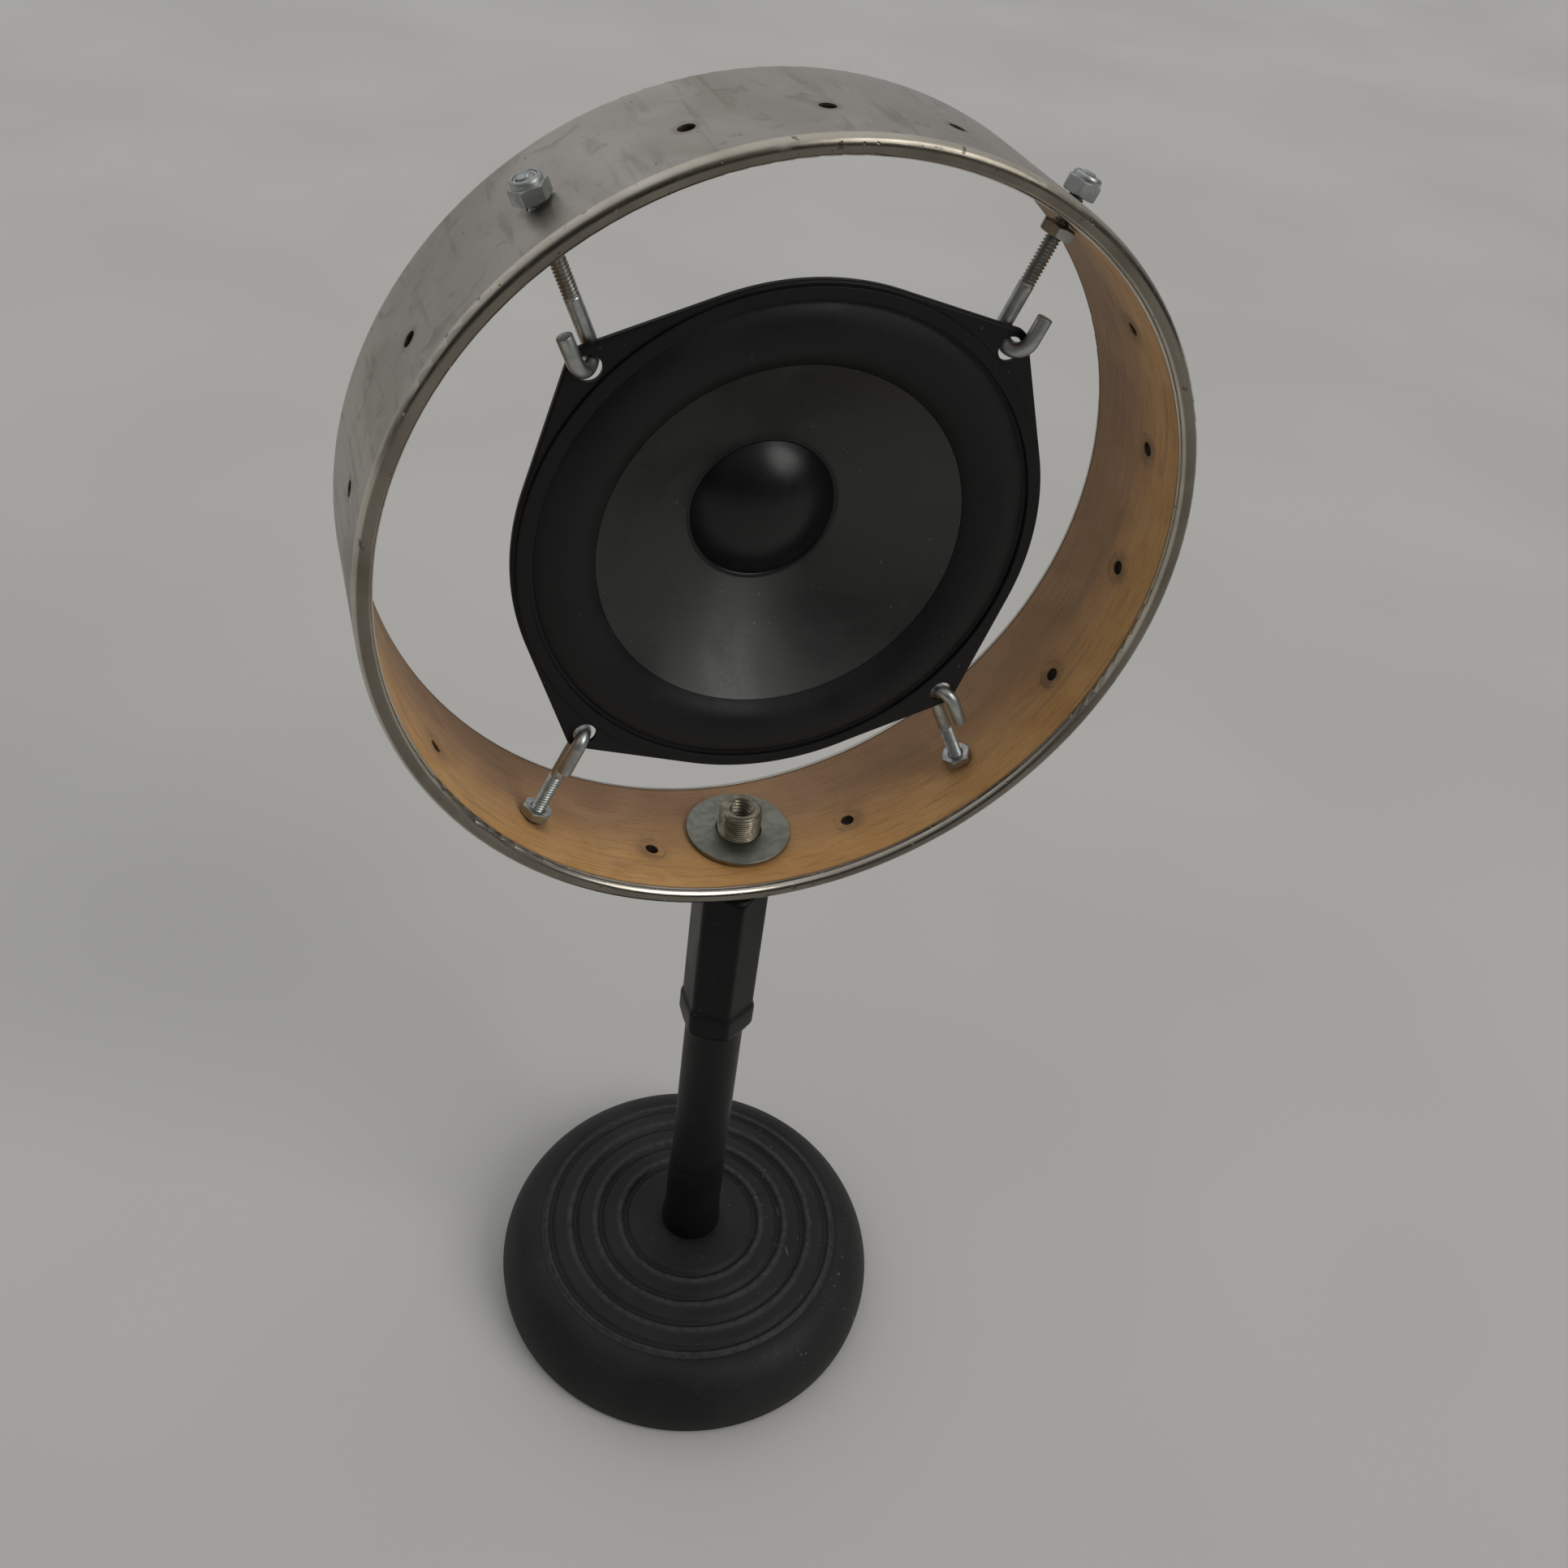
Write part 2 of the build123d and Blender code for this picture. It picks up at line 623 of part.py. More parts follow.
# --- moving cone ---
def cone():
    """Slightly flared paper or polypropylene cone, from the surround down to the coil former."""
    wall = 0.7
    r_in = COIL_FORMER_R + 0.02
    mid = (DUST_CAP_R, 0, DUST_CAP_DEPTH)
    outline = [
        Edge.make_line((CONE_R, 0, CONE_EDGE_DEPTH - wall), (CONE_R, 0, CONE_EDGE_DEPTH)),
        Edge.make_three_point_arc((CONE_R, 0, CONE_EDGE_DEPTH), (41.0, 0, 15.9 + wall), (mid[0], 0, mid[2] + wall)),
        Edge.make_line((mid[0], 0, mid[2] + wall), (r_in, 0, CONE_NECK_DEPTH)),
        Edge.make_line((r_in, 0, CONE_NECK_DEPTH), (r_in, 0, CONE_NECK_DEPTH - wall)),
        Edge.make_line((r_in, 0, CONE_NECK_DEPTH - wall), mid),
        Edge.make_three_point_arc(mid, (41.0, 0, 15.9), (CONE_R, 0, CONE_EDGE_DEPTH - wall)),
    ]
    return placed(on_front(revolve(Face(Wire(outline)), Axis.Z, 360)))


def dust_cap():
    """Domed cap in the middle of the cone."""
    rise = 9.5
    wall = 0.5
    edge = DUST_CAP_DEPTH - 0.4
    sphere_r = (DUST_CAP_R**2 + rise**2) / (2 * rise)
    shell = Sphere(sphere_r) - Sphere(sphere_r - wall)
    in_front = Pos(0, 0, edge - 10) * Cylinder(DUST_CAP_R + 2, 20)
    return placed(on_front((Pos(0, 0, edge - rise + sphere_r) * shell) & in_front))


def coil_former():
    """Thin tube that carries the coil in the magnet's gap."""
    return placed(on_front(tube_between(COIL_FORMER_R - 0.25, COIL_FORMER_R, CONE_NECK_DEPTH - 3, 45.0)))


def voice_coil():
    """Copper winding on the former, centred in the top plate."""
    middle = BASKET_BACK_DEPTH + TOP_PLATE_T / 2
    return placed(on_front(tube_between(COIL_FORMER_R, COIL_FORMER_R + 0.55, middle - 4, middle + 4)))


def main():
    os.makedirs("parts", exist_ok=True)
    hooks = {name: Hook(*values) for name, values in HOOKS.items()}
    holes = shell_holes(hooks.values())
    save("base_casting", base_casting())
    save("base_pad", base_pad())
    save("foot_collar", foot_collar())
    save("tube_sleeve", tube_sleeve())
    save("lower_tube", lower_tube())
    save("clutch_bush", clutch_bush())
    save("clutch_collet", clutch_collet())
    save("clutch_grip", clutch_grip())
    save("upper_tube", upper_tube())
    save("thread_stub", thread_stub())
    save("jam_nut", jam_nut())
    save("lower_washer", lower_washer())
    save("metal_skin", metal_skin(holes))
    save("wood_liner", wood_liner(holes))
    save("fender_washer", fender_washer())
    for name, hook in hooks.items():
        save(f"hook_bolt_{name}", hook_bolt(hook))
    save("inner_hex_nuts", Compound([inner_hex_nut(hook) for hook in hooks.values()]))
    save("outer_lock_nuts", Compound([outer_lock_nut(hook) for hook in hooks.values()]))
    save("nylon_inserts", Compound([nylon_insert(hook) for hook in hooks.values()]))
    save("speaker_basket", speaker_basket())
    save("front_gasket", front_gasket())
    save("surround", surround())
    save("spider", spider())
    save("top_plate", top_plate())
    save("magnet", magnet())
    save("magnet_yoke", magnet_yoke())
    save("terminal_board", terminal_board())
    save("solder_tags", solder_tags())
    save("cone", cone())
    save("dust_cap", dust_cap())
    save("coil_former", coil_former())
    save("voice_coil", voice_coil())


main()
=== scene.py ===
import json
import math

import bmesh
import bpy
from mathutils import Matrix, Vector

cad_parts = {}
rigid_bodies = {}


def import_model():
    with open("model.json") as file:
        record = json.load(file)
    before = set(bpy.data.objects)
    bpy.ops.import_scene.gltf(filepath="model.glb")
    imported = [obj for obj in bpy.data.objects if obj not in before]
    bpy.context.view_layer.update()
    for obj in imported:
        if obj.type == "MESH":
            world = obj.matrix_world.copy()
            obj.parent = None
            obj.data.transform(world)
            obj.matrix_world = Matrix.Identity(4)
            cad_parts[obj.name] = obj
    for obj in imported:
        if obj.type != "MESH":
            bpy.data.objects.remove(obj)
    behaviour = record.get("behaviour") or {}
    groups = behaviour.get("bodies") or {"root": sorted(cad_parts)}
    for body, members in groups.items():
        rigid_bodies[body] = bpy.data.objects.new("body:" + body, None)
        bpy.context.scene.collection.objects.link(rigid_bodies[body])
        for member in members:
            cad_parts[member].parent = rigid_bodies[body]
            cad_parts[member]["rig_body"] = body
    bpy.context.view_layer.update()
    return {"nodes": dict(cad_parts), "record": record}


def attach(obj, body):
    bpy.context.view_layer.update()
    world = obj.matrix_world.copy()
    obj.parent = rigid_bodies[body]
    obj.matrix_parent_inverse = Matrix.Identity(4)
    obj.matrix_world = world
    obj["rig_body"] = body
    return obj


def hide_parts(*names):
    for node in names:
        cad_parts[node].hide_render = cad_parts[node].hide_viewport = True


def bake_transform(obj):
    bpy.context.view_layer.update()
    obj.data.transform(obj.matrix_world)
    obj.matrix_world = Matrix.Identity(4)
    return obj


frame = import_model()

# Looks of a drum microphone: a woofer hung by four hook bolts in a metal-clad wooden rim, on a
# round-base stand. Sizes in this file are millimetres, and MM turns them into the frame's metres.
MM = 0.001

# --- camera ---
CAMERA_EYE = (-146.09, -377.21, 638.19)
CAMERA_AZIMUTH = math.radians(-23.17)
CAMERA_ELEVATION = math.radians(39.48)
CAMERA_ROLL = math.radians(-8.34)
CAMERA_LENS = 33.94
SENSOR = 36.0

# --- sizes shared by several pieces ---
SHELL_CENTRE = Vector((0, 0, 403))
SHELL_R = 130.0
LINER_R = 124.3
ROLL_START = 26.9  # where the skin's rolled edges begin, from the middle of the shell
BRACKET_Y = -7.0
SPEAKER_CENTRE = Vector((0.0, -12.2, 405.8))
SPEAKER_ROLL = -1.0
HOOK_PITCH = 8.2
EAR_PITCH_R = 87.8
EAR_ANGLES = (45, 135, 225, 315)
EMPTY_HOLES = (18.5, 61.3, 82.4, 103.1, 123.6, 164.8, 181.2, 197.6, 237.0, 257.2, 278.5, 300.5, 344.0)
# name: (shell angle from the bottom towards +X, ear angle from +X, twist of the hook, tip length)
HOOKS = {
    "top_left": (216.8, 135, -36.0, 7.5),
    "top_right": (144.8, 45, 36.0, 7.5),
    "bottom_left": (322.0, 225, -18.0, 10.0),
    "bottom_right": (39.9, 315, 28.0, 9.5),
}
ALL_HOLES = EMPTY_HOLES + tuple(hook[0] for hook in HOOKS.values())
UPRIGHT = Matrix.Identity(4)
SPEAKER = (
    Matrix.Translation(SPEAKER_CENTRE)
    @ Matrix.Rotation(math.radians(SPEAKER_ROLL), 4, "Y")
    @ Matrix.Rotation(math.radians(-90), 4, "X")
)

# --- rings of the base's upper face ---
RING_GROOVES = (30.3, 41.7, 53.3, 64.5, 68.2)
NOSE_OFFSET = 2.8  # from a groove out to the top of the ridge beside it

# --- materials ---
SATIN = 0.22  # specular level of the black paints and rubbers
PALE_DUST = (0.30, 0.29, 0.27)


class Finish:
    """A Principled material whose colour, roughness and bump come from nodes."""

    def __init__(self, slot, **constants):
        self.material = bpy.data.materials.new(slot)
        self.material.use_nodes = True
        self.tree = self.material.node_tree
        self.shader = self.tree.nodes["Principled BSDF"]
        for socket, value in constants.items():
            self.shader.inputs[socket.replace("_", " ")].default_value = value
        self.place = self.node("ShaderNodeTexCoord").outputs["Object"]

    def node(self, kind, inputs=None, **settings):
        """Adds a node, with values or other nodes' sockets on its inputs."""
        node = self.tree.nodes.new(kind)
        for name, value in settings.items():
            setattr(node, name, value)
        for socket, value in (inputs or {}).items():
            if isinstance(value, bpy.types.NodeSocket):
                self.tree.links.new(value, node.inputs[socket])
            else:
                node.inputs[socket].default_value = value
        return node

    def vector(self, operation, a, b):
        """The output sockets of a vector maths node."""
        return self.node("ShaderNodeVectorMath", {0: a, 1: b}, operation=operation).outputs

    def noise(self, size, detail=3.0, stretch=None, distortion=0.0):
        """Noise with features of about size millimetres, lengthened along X, Y and Z by stretch."""
        place = self.place
        if stretch:
            place = self.vector("MULTIPLY", place, [1 / s for s in stretch])[0]
        inputs = {"Vector": place, "Scale": 1 / (size * MM), "Detail": detail, "Distortion": distortion}
        return self.node("ShaderNodeTexNoise", inputs).outputs[0]

    def between(self, value, low, high, start=0.0, end=1.0):
        """Maps low..high smoothly to start..end."""
        inputs = {0: value, 1: low, 2: high, 3: start, 4: end}
        return self.node("ShaderNodeMapRange", inputs, interpolation_type="SMOOTHSTEP").outputs[0]

    def math(self, operation, a, b=0.0):
        return self.node("ShaderNodeMath", {0: a, 1: b}, operation=operation).outputs[0]

    def weighted(self, a, b, share):
        """The mean of two values, with a share of it from the second."""
        return self.math("ADD", self.math("MULTIPLY", a, 1 - share), self.math("MULTIPLY", b, share))

    def mix(self, factor, a, b):
        """Mixes two colours."""
        inputs = {0: factor, 6: rgba(a), 7: rgba(b)}
        return self.node("ShaderNodeMix", inputs, data_type="RGBA", clamp_factor=True).outputs[2]

    def marked(self, colour, mask, strength, mark):
        """A colour under marks of another colour, where a mask from 0 to 1 has them."""
        return self.mix(self.math("MULTIPLY", mask, strength), colour, mark)

    def axes(self):
        """The X, Y and Z sockets of the place, in metres."""
        return self.node("ShaderNodeSeparateXYZ", {0: self.place}).outputs

    def radius_about(self, centre, use_y):
        """Distance in metres from an axis along Z (use_y) or along Y, through a centre in millimetres."""
        flat = (1, 1, 0) if use_y else (1, 0, 1)
        middle = [c * MM * keep for c, keep in zip(centre, flat)]
        on_plane = self.vector("MULTIPLY", self.place, flat)[0]
        return self.vector("DISTANCE", on_plane, middle)["Value"]

    def distance_to(self, points):
        """Distance in metres to the nearest of several points in millimetres."""
        nearest = None
        for point in points:
            away = self.vector("DISTANCE", self.place, Vector(point) * MM)["Value"]
            nearest = away if nearest is None else self.math("MINIMUM", nearest, away)
        return nearest

    def feed(self, colour=None, roughness=None, metallic=None, height=None, depth=0.02):
        """Links the finished colour, roughness, metallic and bump; depth is in millimetres."""
        sockets = {"Base Color": colour, "Roughness": roughness, "Metallic": metallic}
        if height is not None:
            inputs = {"Height": height, "Distance": depth * MM, "Strength": 1.0}
            sockets["Normal"] = self.node("ShaderNodeBump", inputs).outputs[0]
        for name, value in sockets.items():
            if value is not None:
                self.tree.links.new(value, self.shader.inputs[name])
        return self.material


def rgba(colour):
    """A colour with its alpha, or a socket as it is."""
    return colour if isinstance(colour, bpy.types.NodeSocket) else (*colour, 1.0)


def shell_point(angle, radius, y=BRACKET_Y):
    """A point of the drum shell, by angle from the bottom towards +X."""
    a = math.radians(angle)
    return Vector((radius * math.sin(a), y, SHELL_CENTRE.z - radius * math.cos(a)))


def moulded(slot, dark, light, roughness, grain=0.8, depth=0.02, dust=0.0, gloss=SATIN):
    """Paint, rubber or moulded plastic: cloudy tone, fine grain, and a little pale dust."""
    f = Finish(slot, Specular_IOR_Level=gloss)
    cloud = f.between(f.noise(28, detail=5, distortion=0.6), 0.35, 0.65)
    fine = f.noise(grain, detail=3)
    colour = f.mix(cloud, dark, light)
    if dust:
        specks = f.between(f.noise(1.6, detail=2), 0.72, 0.76, end=dust)
        colour = f.mix(specks, colour, PALE_DUST)
    rough = f.between(f.weighted(cloud, fine, 0.5), 0.2, 0.8, *roughness)
    return f.feed(colour, rough, height=fine, depth=depth)


def plated(slot, dull, bright, roughness, depth=0.01):
    """Plated or bare metal: mottled colour, rougher where it is dull, with a fine grain."""
    f = Finish(slot, Metallic=1.0)
    mottle = f.between(f.noise(4.5, detail=6, distortion=1.0), 0.3, 0.7)
    fine = f.noise(0.35, detail=2)
    smooth, rough = roughness
    roughness_here = f.between(f.weighted(mottle, fine, 0.4), 0.25, 0.75, rough, smooth)
    return f.feed(f.mix(mottle, dull, bright), roughness_here, height=fine, depth=depth)


def skin_finish():
    """Tarnished nickel silver: streaks, stains, pits, darker low down, brighter nicked rolled edges with a
    painted dark reflection across their front faces.
    """
    low_down_colour = (0.20, 0.185, 0.155)
    streak_colour = (0.19, 0.175, 0.145)
    stain_colour = (0.20, 0.18, 0.145)
    hole_grime = (0.20, 0.165, 0.12)
    pit_colour = (0.07, 0.06, 0.045)
    nick_colour = (0.12, 0.10, 0.07)
    f = Finish("nickel_silver_skin")
    _, along_axis, height_up = f.axes()
    y = f.math("ABSOLUTE", along_axis)
    holes = f.distance_to([shell_point(a, SHELL_R) for a in ALL_HOLES])

    cloud = f.between(f.noise(46, detail=7, stretch=(1, 1.4, 1), distortion=1.0), 0.30, 0.70)
    streak = f.between(f.noise(5, detail=5, stretch=(1, 6, 1), distortion=0.6), 0.54, 0.74)
    stain = f.between(f.noise(13, detail=6, distortion=1.4), 0.58, 0.72)
    brushed = f.noise(0.45, detail=3, stretch=(30, 1, 30))
    pits = f.between(f.noise(1.9, detail=1), 0.755, 0.785)
    # The skin is made darker towards the bottom of the shell.
    low_down = f.between(height_up, 470 * MM, 370 * MM, end=0.7)
    roll = f.between(y, (ROLL_START - 0.4) * MM, (ROLL_START + 0.4) * MM)
    # Painted dark reflection across the front face of each rolled edge.
    face = f.between(y, (ROLL_START + 2.0) * MM, (ROLL_START + 2.5) * MM, end=0.85)
    nicks = f.math("MULTIPLY", f.between(f.noise(4, detail=2), 0.69, 0.72), roll)

    colour = f.mix(cloud, (0.36, 0.332, 0.288), (0.46, 0.432, 0.385))
    colour = f.mix(low_down, colour, low_down_colour)
    colour = f.marked(colour, streak, 0.34, streak_colour)
    colour = f.marked(colour, stain, 0.45, stain_colour)
    colour = f.mix(f.between(holes, 5.0 * MM, 2.4 * MM, end=0.5), colour, hole_grime)
    colour = f.marked(colour, pits, 0.8, pit_colour)
    colour = f.mix(roll, colour, f.mix(cloud, (0.46, 0.42, 0.35), (0.60, 0.56, 0.48)))
    # The rolled edges' front faces get the painted dark reflection.
    colour = f.mix(face, colour, f.mix(cloud, (0.13, 0.115, 0.088), (0.20, 0.18, 0.145)))
    colour = f.marked(colour, nicks, 0.7, nick_colour)

    rough = f.between(cloud, 0.0, 1.0, 0.46, 0.36)
    rough = f.math("ADD", rough, f.math("MULTIPLY", streak, 0.10))
    rough = f.math("SUBTRACT", rough, f.math("MULTIPLY", roll, 0.16))
    rough = f.math("ADD", rough, f.math("MULTIPLY", f.math("SUBTRACT", brushed, 0.5), 0.2))
    metallic = f.between(pits, 0.0, 1.0, 1.0, 0.3)
    height = f.math("SUBTRACT", f.math("MULTIPLY", brushed, 0.10), nicks)
    height = f.math("SUBTRACT", height, pits)
    dents = f.noise(16, detail=3)
    height = f.math("ADD", height, f.math("MULTIPLY", dents, 0.8))
    return f.feed(colour, rough, metallic, height, depth=0.08)


def liner_finish():
    """Aged maple: grain round the rim, golden towards the front edge, brown-grey behind, stained holes."""
    grain_colour = (0.20, 0.11, 0.05)
    band_colour = (0.27, 0.17, 0.10)
    ring_colour = (0.14, 0.085, 0.045)
    smudge_colour = (0.12, 0.075, 0.045)
    hole_wall_colour = (0.030, 0.018, 0.012)
    seam_colour = (0.09, 0.050, 0.025)
    pore_colour = (0.12, 0.065, 0.035)
    f = Finish("maple_liner", Specular_IOR_Level=0.3)
    y = f.axes()[1]
    holes = f.distance_to([shell_point(a, LINER_R) for a in ALL_HOLES])
    radius = f.radius_about(SHELL_CENTRE, use_y=False)

    grain = f.noise(0.6, detail=5, stretch=(26, 1, 26), distortion=0.4)
    bands = f.noise(5, detail=4, stretch=(9, 1, 9), distortion=0.8)
    cloud = f.between(f.noise(30, detail=5, distortion=1.0), 0.3, 0.7)
    wavy_y = f.math("ADD", y, f.math("MULTIPLY", f.math("SUBTRACT", bands, 0.5), 0.02))
    backness = f.between(wavy_y, -26 * MM, 14 * MM)
    ring = f.math("MULTIPLY", f.between(holes, 5.6 * MM, 5.1 * MM), f.between(holes, 4.3 * MM, 4.9 * MM))
    broken = f.between(f.noise(6, detail=3), 0.45, 0.62, end=0.5)
    patchy = f.between(f.noise(7, detail=3), 0.3, 0.7, 0.15, 0.7)
    smudge = f.math("MULTIPLY", f.between(holes, 8.5 * MM, 2.4 * MM), patchy)
    hole_wall = f.between(radius, (LINER_R + 0.2) * MM, (LINER_R + 0.7) * MM)
    seam_start, seam_end = (ROLL_START - 1.1) * MM, (ROLL_START - 0.1) * MM
    seam = f.between(f.math("ABSOLUTE", y), seam_start, seam_end, end=0.75)
    pores = f.between(f.noise(0.3, detail=1, stretch=(9, 1, 9)), 0.68, 0.74)

    golden = f.mix(cloud, (0.56, 0.295, 0.095), (0.64, 0.365, 0.135))
    brown = f.mix(cloud, (0.33, 0.190, 0.095), (0.41, 0.240, 0.125))
    colour = f.mix(backness, golden, brown)
    colour = f.mix(f.between(grain, 0.50, 0.70, end=0.36), colour, grain_colour)
    colour = f.mix(f.between(bands, 0.58, 0.72, end=0.35), colour, band_colour)
    colour = f.mix(f.math("MULTIPLY", ring, broken), colour, ring_colour)
    colour = f.mix(smudge, colour, smudge_colour)
    colour = f.mix(hole_wall, colour, hole_wall_colour)
    colour = f.mix(seam, colour, seam_colour)
    colour = f.marked(colour, pores, 0.4, pore_colour)
    rough = f.between(grain, 0.3, 0.7, 0.50, 0.68)
    height = f.math("SUBTRACT", f.math("MULTIPLY", grain, 0.5), pores)
    return f.feed(colour, rough, height=height, depth=0.05)


def base_finish():
    """Matt charcoal casting: paler on the ridges, from wear and a painted sheen, pale scuffs and specks,
    mostly on its right side.
    """
    wear_and_sheen_colour = (0.052, 0.053, 0.050)
    grain_colour = (0.030, 0.031, 0.029)
    mark_colour = (0.22, 0.22, 0.20)
    f = Finish("base_black", Specular_IOR_Level=0.25)
    x = f.axes()[0]
    radius = f.radius_about((0, 0, 0), use_y=True)

    cloud = f.between(f.noise(35, detail=6), 0.35, 0.65)
    fine = f.noise(0.9, detail=4)
    ridges = None
    for groove in RING_GROOVES:
        from_ridge = f.math("ABSOLUTE", f.math("SUBTRACT", radius, (groove + NOSE_OFFSET) * MM))
        ridge = f.between(from_ridge, 2.2 * MM, 0.4 * MM)
        ridges = ridge if ridges is None else f.math("MAXIMUM", ridges, ridge)
    inside = f.between(radius, 70 * MM, 68 * MM)
    uneven = f.between(f.noise(3, detail=4), 0.3, 0.65, 0.35, 1.0)
    # The ridges are painted paler, partly as wear and partly as a painted sheen.
    wear_and_sheen = f.math("MULTIPLY", f.math("MULTIPLY", ridges, inside), uneven)
    right_side = f.between(x, 0.0, 55 * MM, 0.15, 1.0)
    specks = f.between(f.noise(1.9, detail=2), 0.725, 0.75)
    scuffs = f.between(f.noise(2.4, detail=3, stretch=(1, 4, 1)), 0.70, 0.76)
    marks = f.math("MULTIPLY", f.math("MAXIMUM", specks, f.math("MULTIPLY", scuffs, 0.5)), right_side)

    colour = f.mix(cloud, (0.0095, 0.0102, 0.0098), (0.0150, 0.0158, 0.0150))
    # Paler ridges: wear together with a painted sheen.
    colour = f.marked(colour, wear_and_sheen, 0.75, wear_and_sheen_colour)
    colour = f.mix(f.between(fine, 0.45, 0.75, end=0.35), colour, grain_colour)
    colour = f.marked(colour, marks, 0.7, mark_colour)
    return f.feed(colour, f.between(fine, 0.3, 0.7, 0.50, 0.64), height=fine, depth=0.10)


def cloth_finish():
    """Woven, resin-dipped cloth of the spider."""
    pitch = 0.7 * MM
    f = Finish("spider_cloth", Roughness=0.9)
    x, _, z = f.axes()
    warp = f.math("SINE", f.math("MULTIPLY", x, 2 * math.pi / pitch))
    weft = f.math("SINE", f.math("MULTIPLY", z, 2 * math.pi / pitch))
    weave = f.math("MULTIPLY", warp, weft)
    colour = f.mix(f.between(weave, -0.6, 0.8), (0.22, 0.13, 0.05), (0.42, 0.28, 0.12))
    return f.feed(colour, height=weave, depth=0.06)


def grey(level):
    """A neutral colour."""
    return (level, level, level)


# slot: (dark colour, light colour, roughness range, further settings of moulded)
MOULDED = {
    "pad_rubber": (grey(0.012), grey(0.02), (0.6, 0.8), {"depth": 0.04}),
    "sleeve_black": ((0.0045, 0.0045, 0.005), grey(0.007), (0.42, 0.52), {}),
    "tube_black": (grey(0.005), grey(0.008), (0.38, 0.48), {"depth": 0.01}),
    "collet_nylon": ((0.62, 0.60, 0.54), (0.70, 0.68, 0.62), (0.4, 0.5), {"dust": 0.2}),
    "grip_black": (
        grey(0.0055),
        grey(0.008),
        (0.28, 0.40),
        {"grain": 0.5, "depth": 0.01, "dust": 0.15, "gloss": 0.14},
    ),
    "upper_tube_black": (grey(0.006), grey(0.009), (0.25, 0.36), {}),
    "insert_nylon": ((0.45, 0.46, 0.45), (0.6, 0.61, 0.6), (0.35, 0.5), {}),
    "basket_black": ((0.006, 0.006, 0.0065), (0.009, 0.009, 0.010), (0.42, 0.52), {"dust": 0.2}),
    "gasket_black": (grey(0.006), grey(0.009), (0.48, 0.6), {"grain": 0.4, "depth": 0.03}),
    "surround_rubber": (
        (0.0085, 0.0085, 0.0088),
        (0.0120, 0.0120, 0.0122),
        (0.44, 0.56),
        {"grain": 0.5, "depth": 0.01, "dust": 0.1},
    ),
    "ferrite": (
        (0.014, 0.014, 0.016),
        (0.024, 0.024, 0.026),
        (0.45, 0.62),
        {"grain": 1.2, "depth": 0.06, "dust": 0.25},
    ),
    "terminal_fibre": (
        (0.16, 0.06, 0.025),
        (0.22, 0.09, 0.04),
        (0.5, 0.65),
        {"grain": 0.6, "depth": 0.03},
    ),
    "cone_black": (
        (0.0135, 0.014, 0.0125),
        (0.019, 0.020, 0.0175),
        (0.40, 0.50),
        {"grain": 1.4, "dust": 0.3, "gloss": 0.7},
    ),
    "dust_cap_black": (
        grey(0.0015),
        (0.0025, 0.0025, 0.0027),
        (0.31, 0.37),
        {"grain": 2.0, "depth": 0.004, "gloss": 0.42},
    ),
}
# slot: (dull colour, bright colour, roughness range, further settings of plated)
PLATED = {
    "bush_brass": ((0.42, 0.28, 0.09), (0.62, 0.44, 0.17), (0.28, 0.42), {}),
    "stub_nickel": ((0.18, 0.158, 0.115), (0.32, 0.285, 0.215), (0.30, 0.44), {}),
    "zinc": ((0.34, 0.36, 0.345), (0.47, 0.49, 0.475), (0.33, 0.46), {}),
    "washer_zinc": ((0.215, 0.220, 0.180), (0.265, 0.270, 0.225), (0.42, 0.52), {"depth": 0.02}),
    "plate_steel": ((0.37, 0.36, 0.32), (0.46, 0.45, 0.40), (0.34, 0.46), {}),
    "tag_brass": ((0.45, 0.36, 0.16), (0.68, 0.56, 0.28), (0.25, 0.4), {}),
    "former_aluminium": ((0.55, 0.56, 0.57), (0.72, 0.73, 0.74), (0.25, 0.4), {}),
    "coil_copper": ((0.42, 0.16, 0.07), (0.66, 0.29, 0.14), (0.25, 0.4), {}),
}
FINISHES = {
    "base_black": base_finish(),
    "nickel_silver_skin": skin_finish(),
    "maple_liner": liner_finish(),
    "spider_cloth": cloth_finish(),
}
for slot, (*look, settings) in MOULDED.items():
    FINISHES[slot] = moulded(slot, *look, **settings)
for slot, (*look, settings) in PLATED.items():
    FINISHES[slot] = plated(slot, *look, **settings)


# --- mesh building ---
def even_angles(count):
    """Angles of a full turn."""
    return [2 * math.pi * i / count for i in range(count)]


def loft(rings, loop):
    """Vertices and faces of a skin over rings of points; a loop joins the last ring to the first."""
    count = len(rings[0])
    vertices = [point for ring in rings for point in ring]
    faces = []
    last = len(rings) if loop else len(rings) - 1
    for k in range(last):
        here, there = k * count, (k + 1) % len(rings) * count
        for i in range(count):
            j = (i + 1) % count
            faces.append((here + i, here + j, there + j, there + i))
    if not loop:
        faces.append(tuple(range(count))[::-1])
        faces.append(tuple(range((len(rings) - 1) * count, len(rings) * count)))
    return vertices, faces


def value_at(radius, angle):
    """A radius that may be a number or a function of the angle."""
    return radius(angle) if callable(radius) else radius


def turned(rows, place=UPRIGHT, angles=None, loop=True):
    """A skin turned about local Z from (radius, height) rows; a radius may depend on the angle."""
    angles = angles or even_angles(144)
    rings = []
    for radius, height in rows:
        ring = []
        for a in angles:
            r = value_at(radius, a)
            ring.append(place @ Vector((r * math.cos(a), r * math.sin(a), height)))
        rings.append(ring)
    return loft(rings, loop)


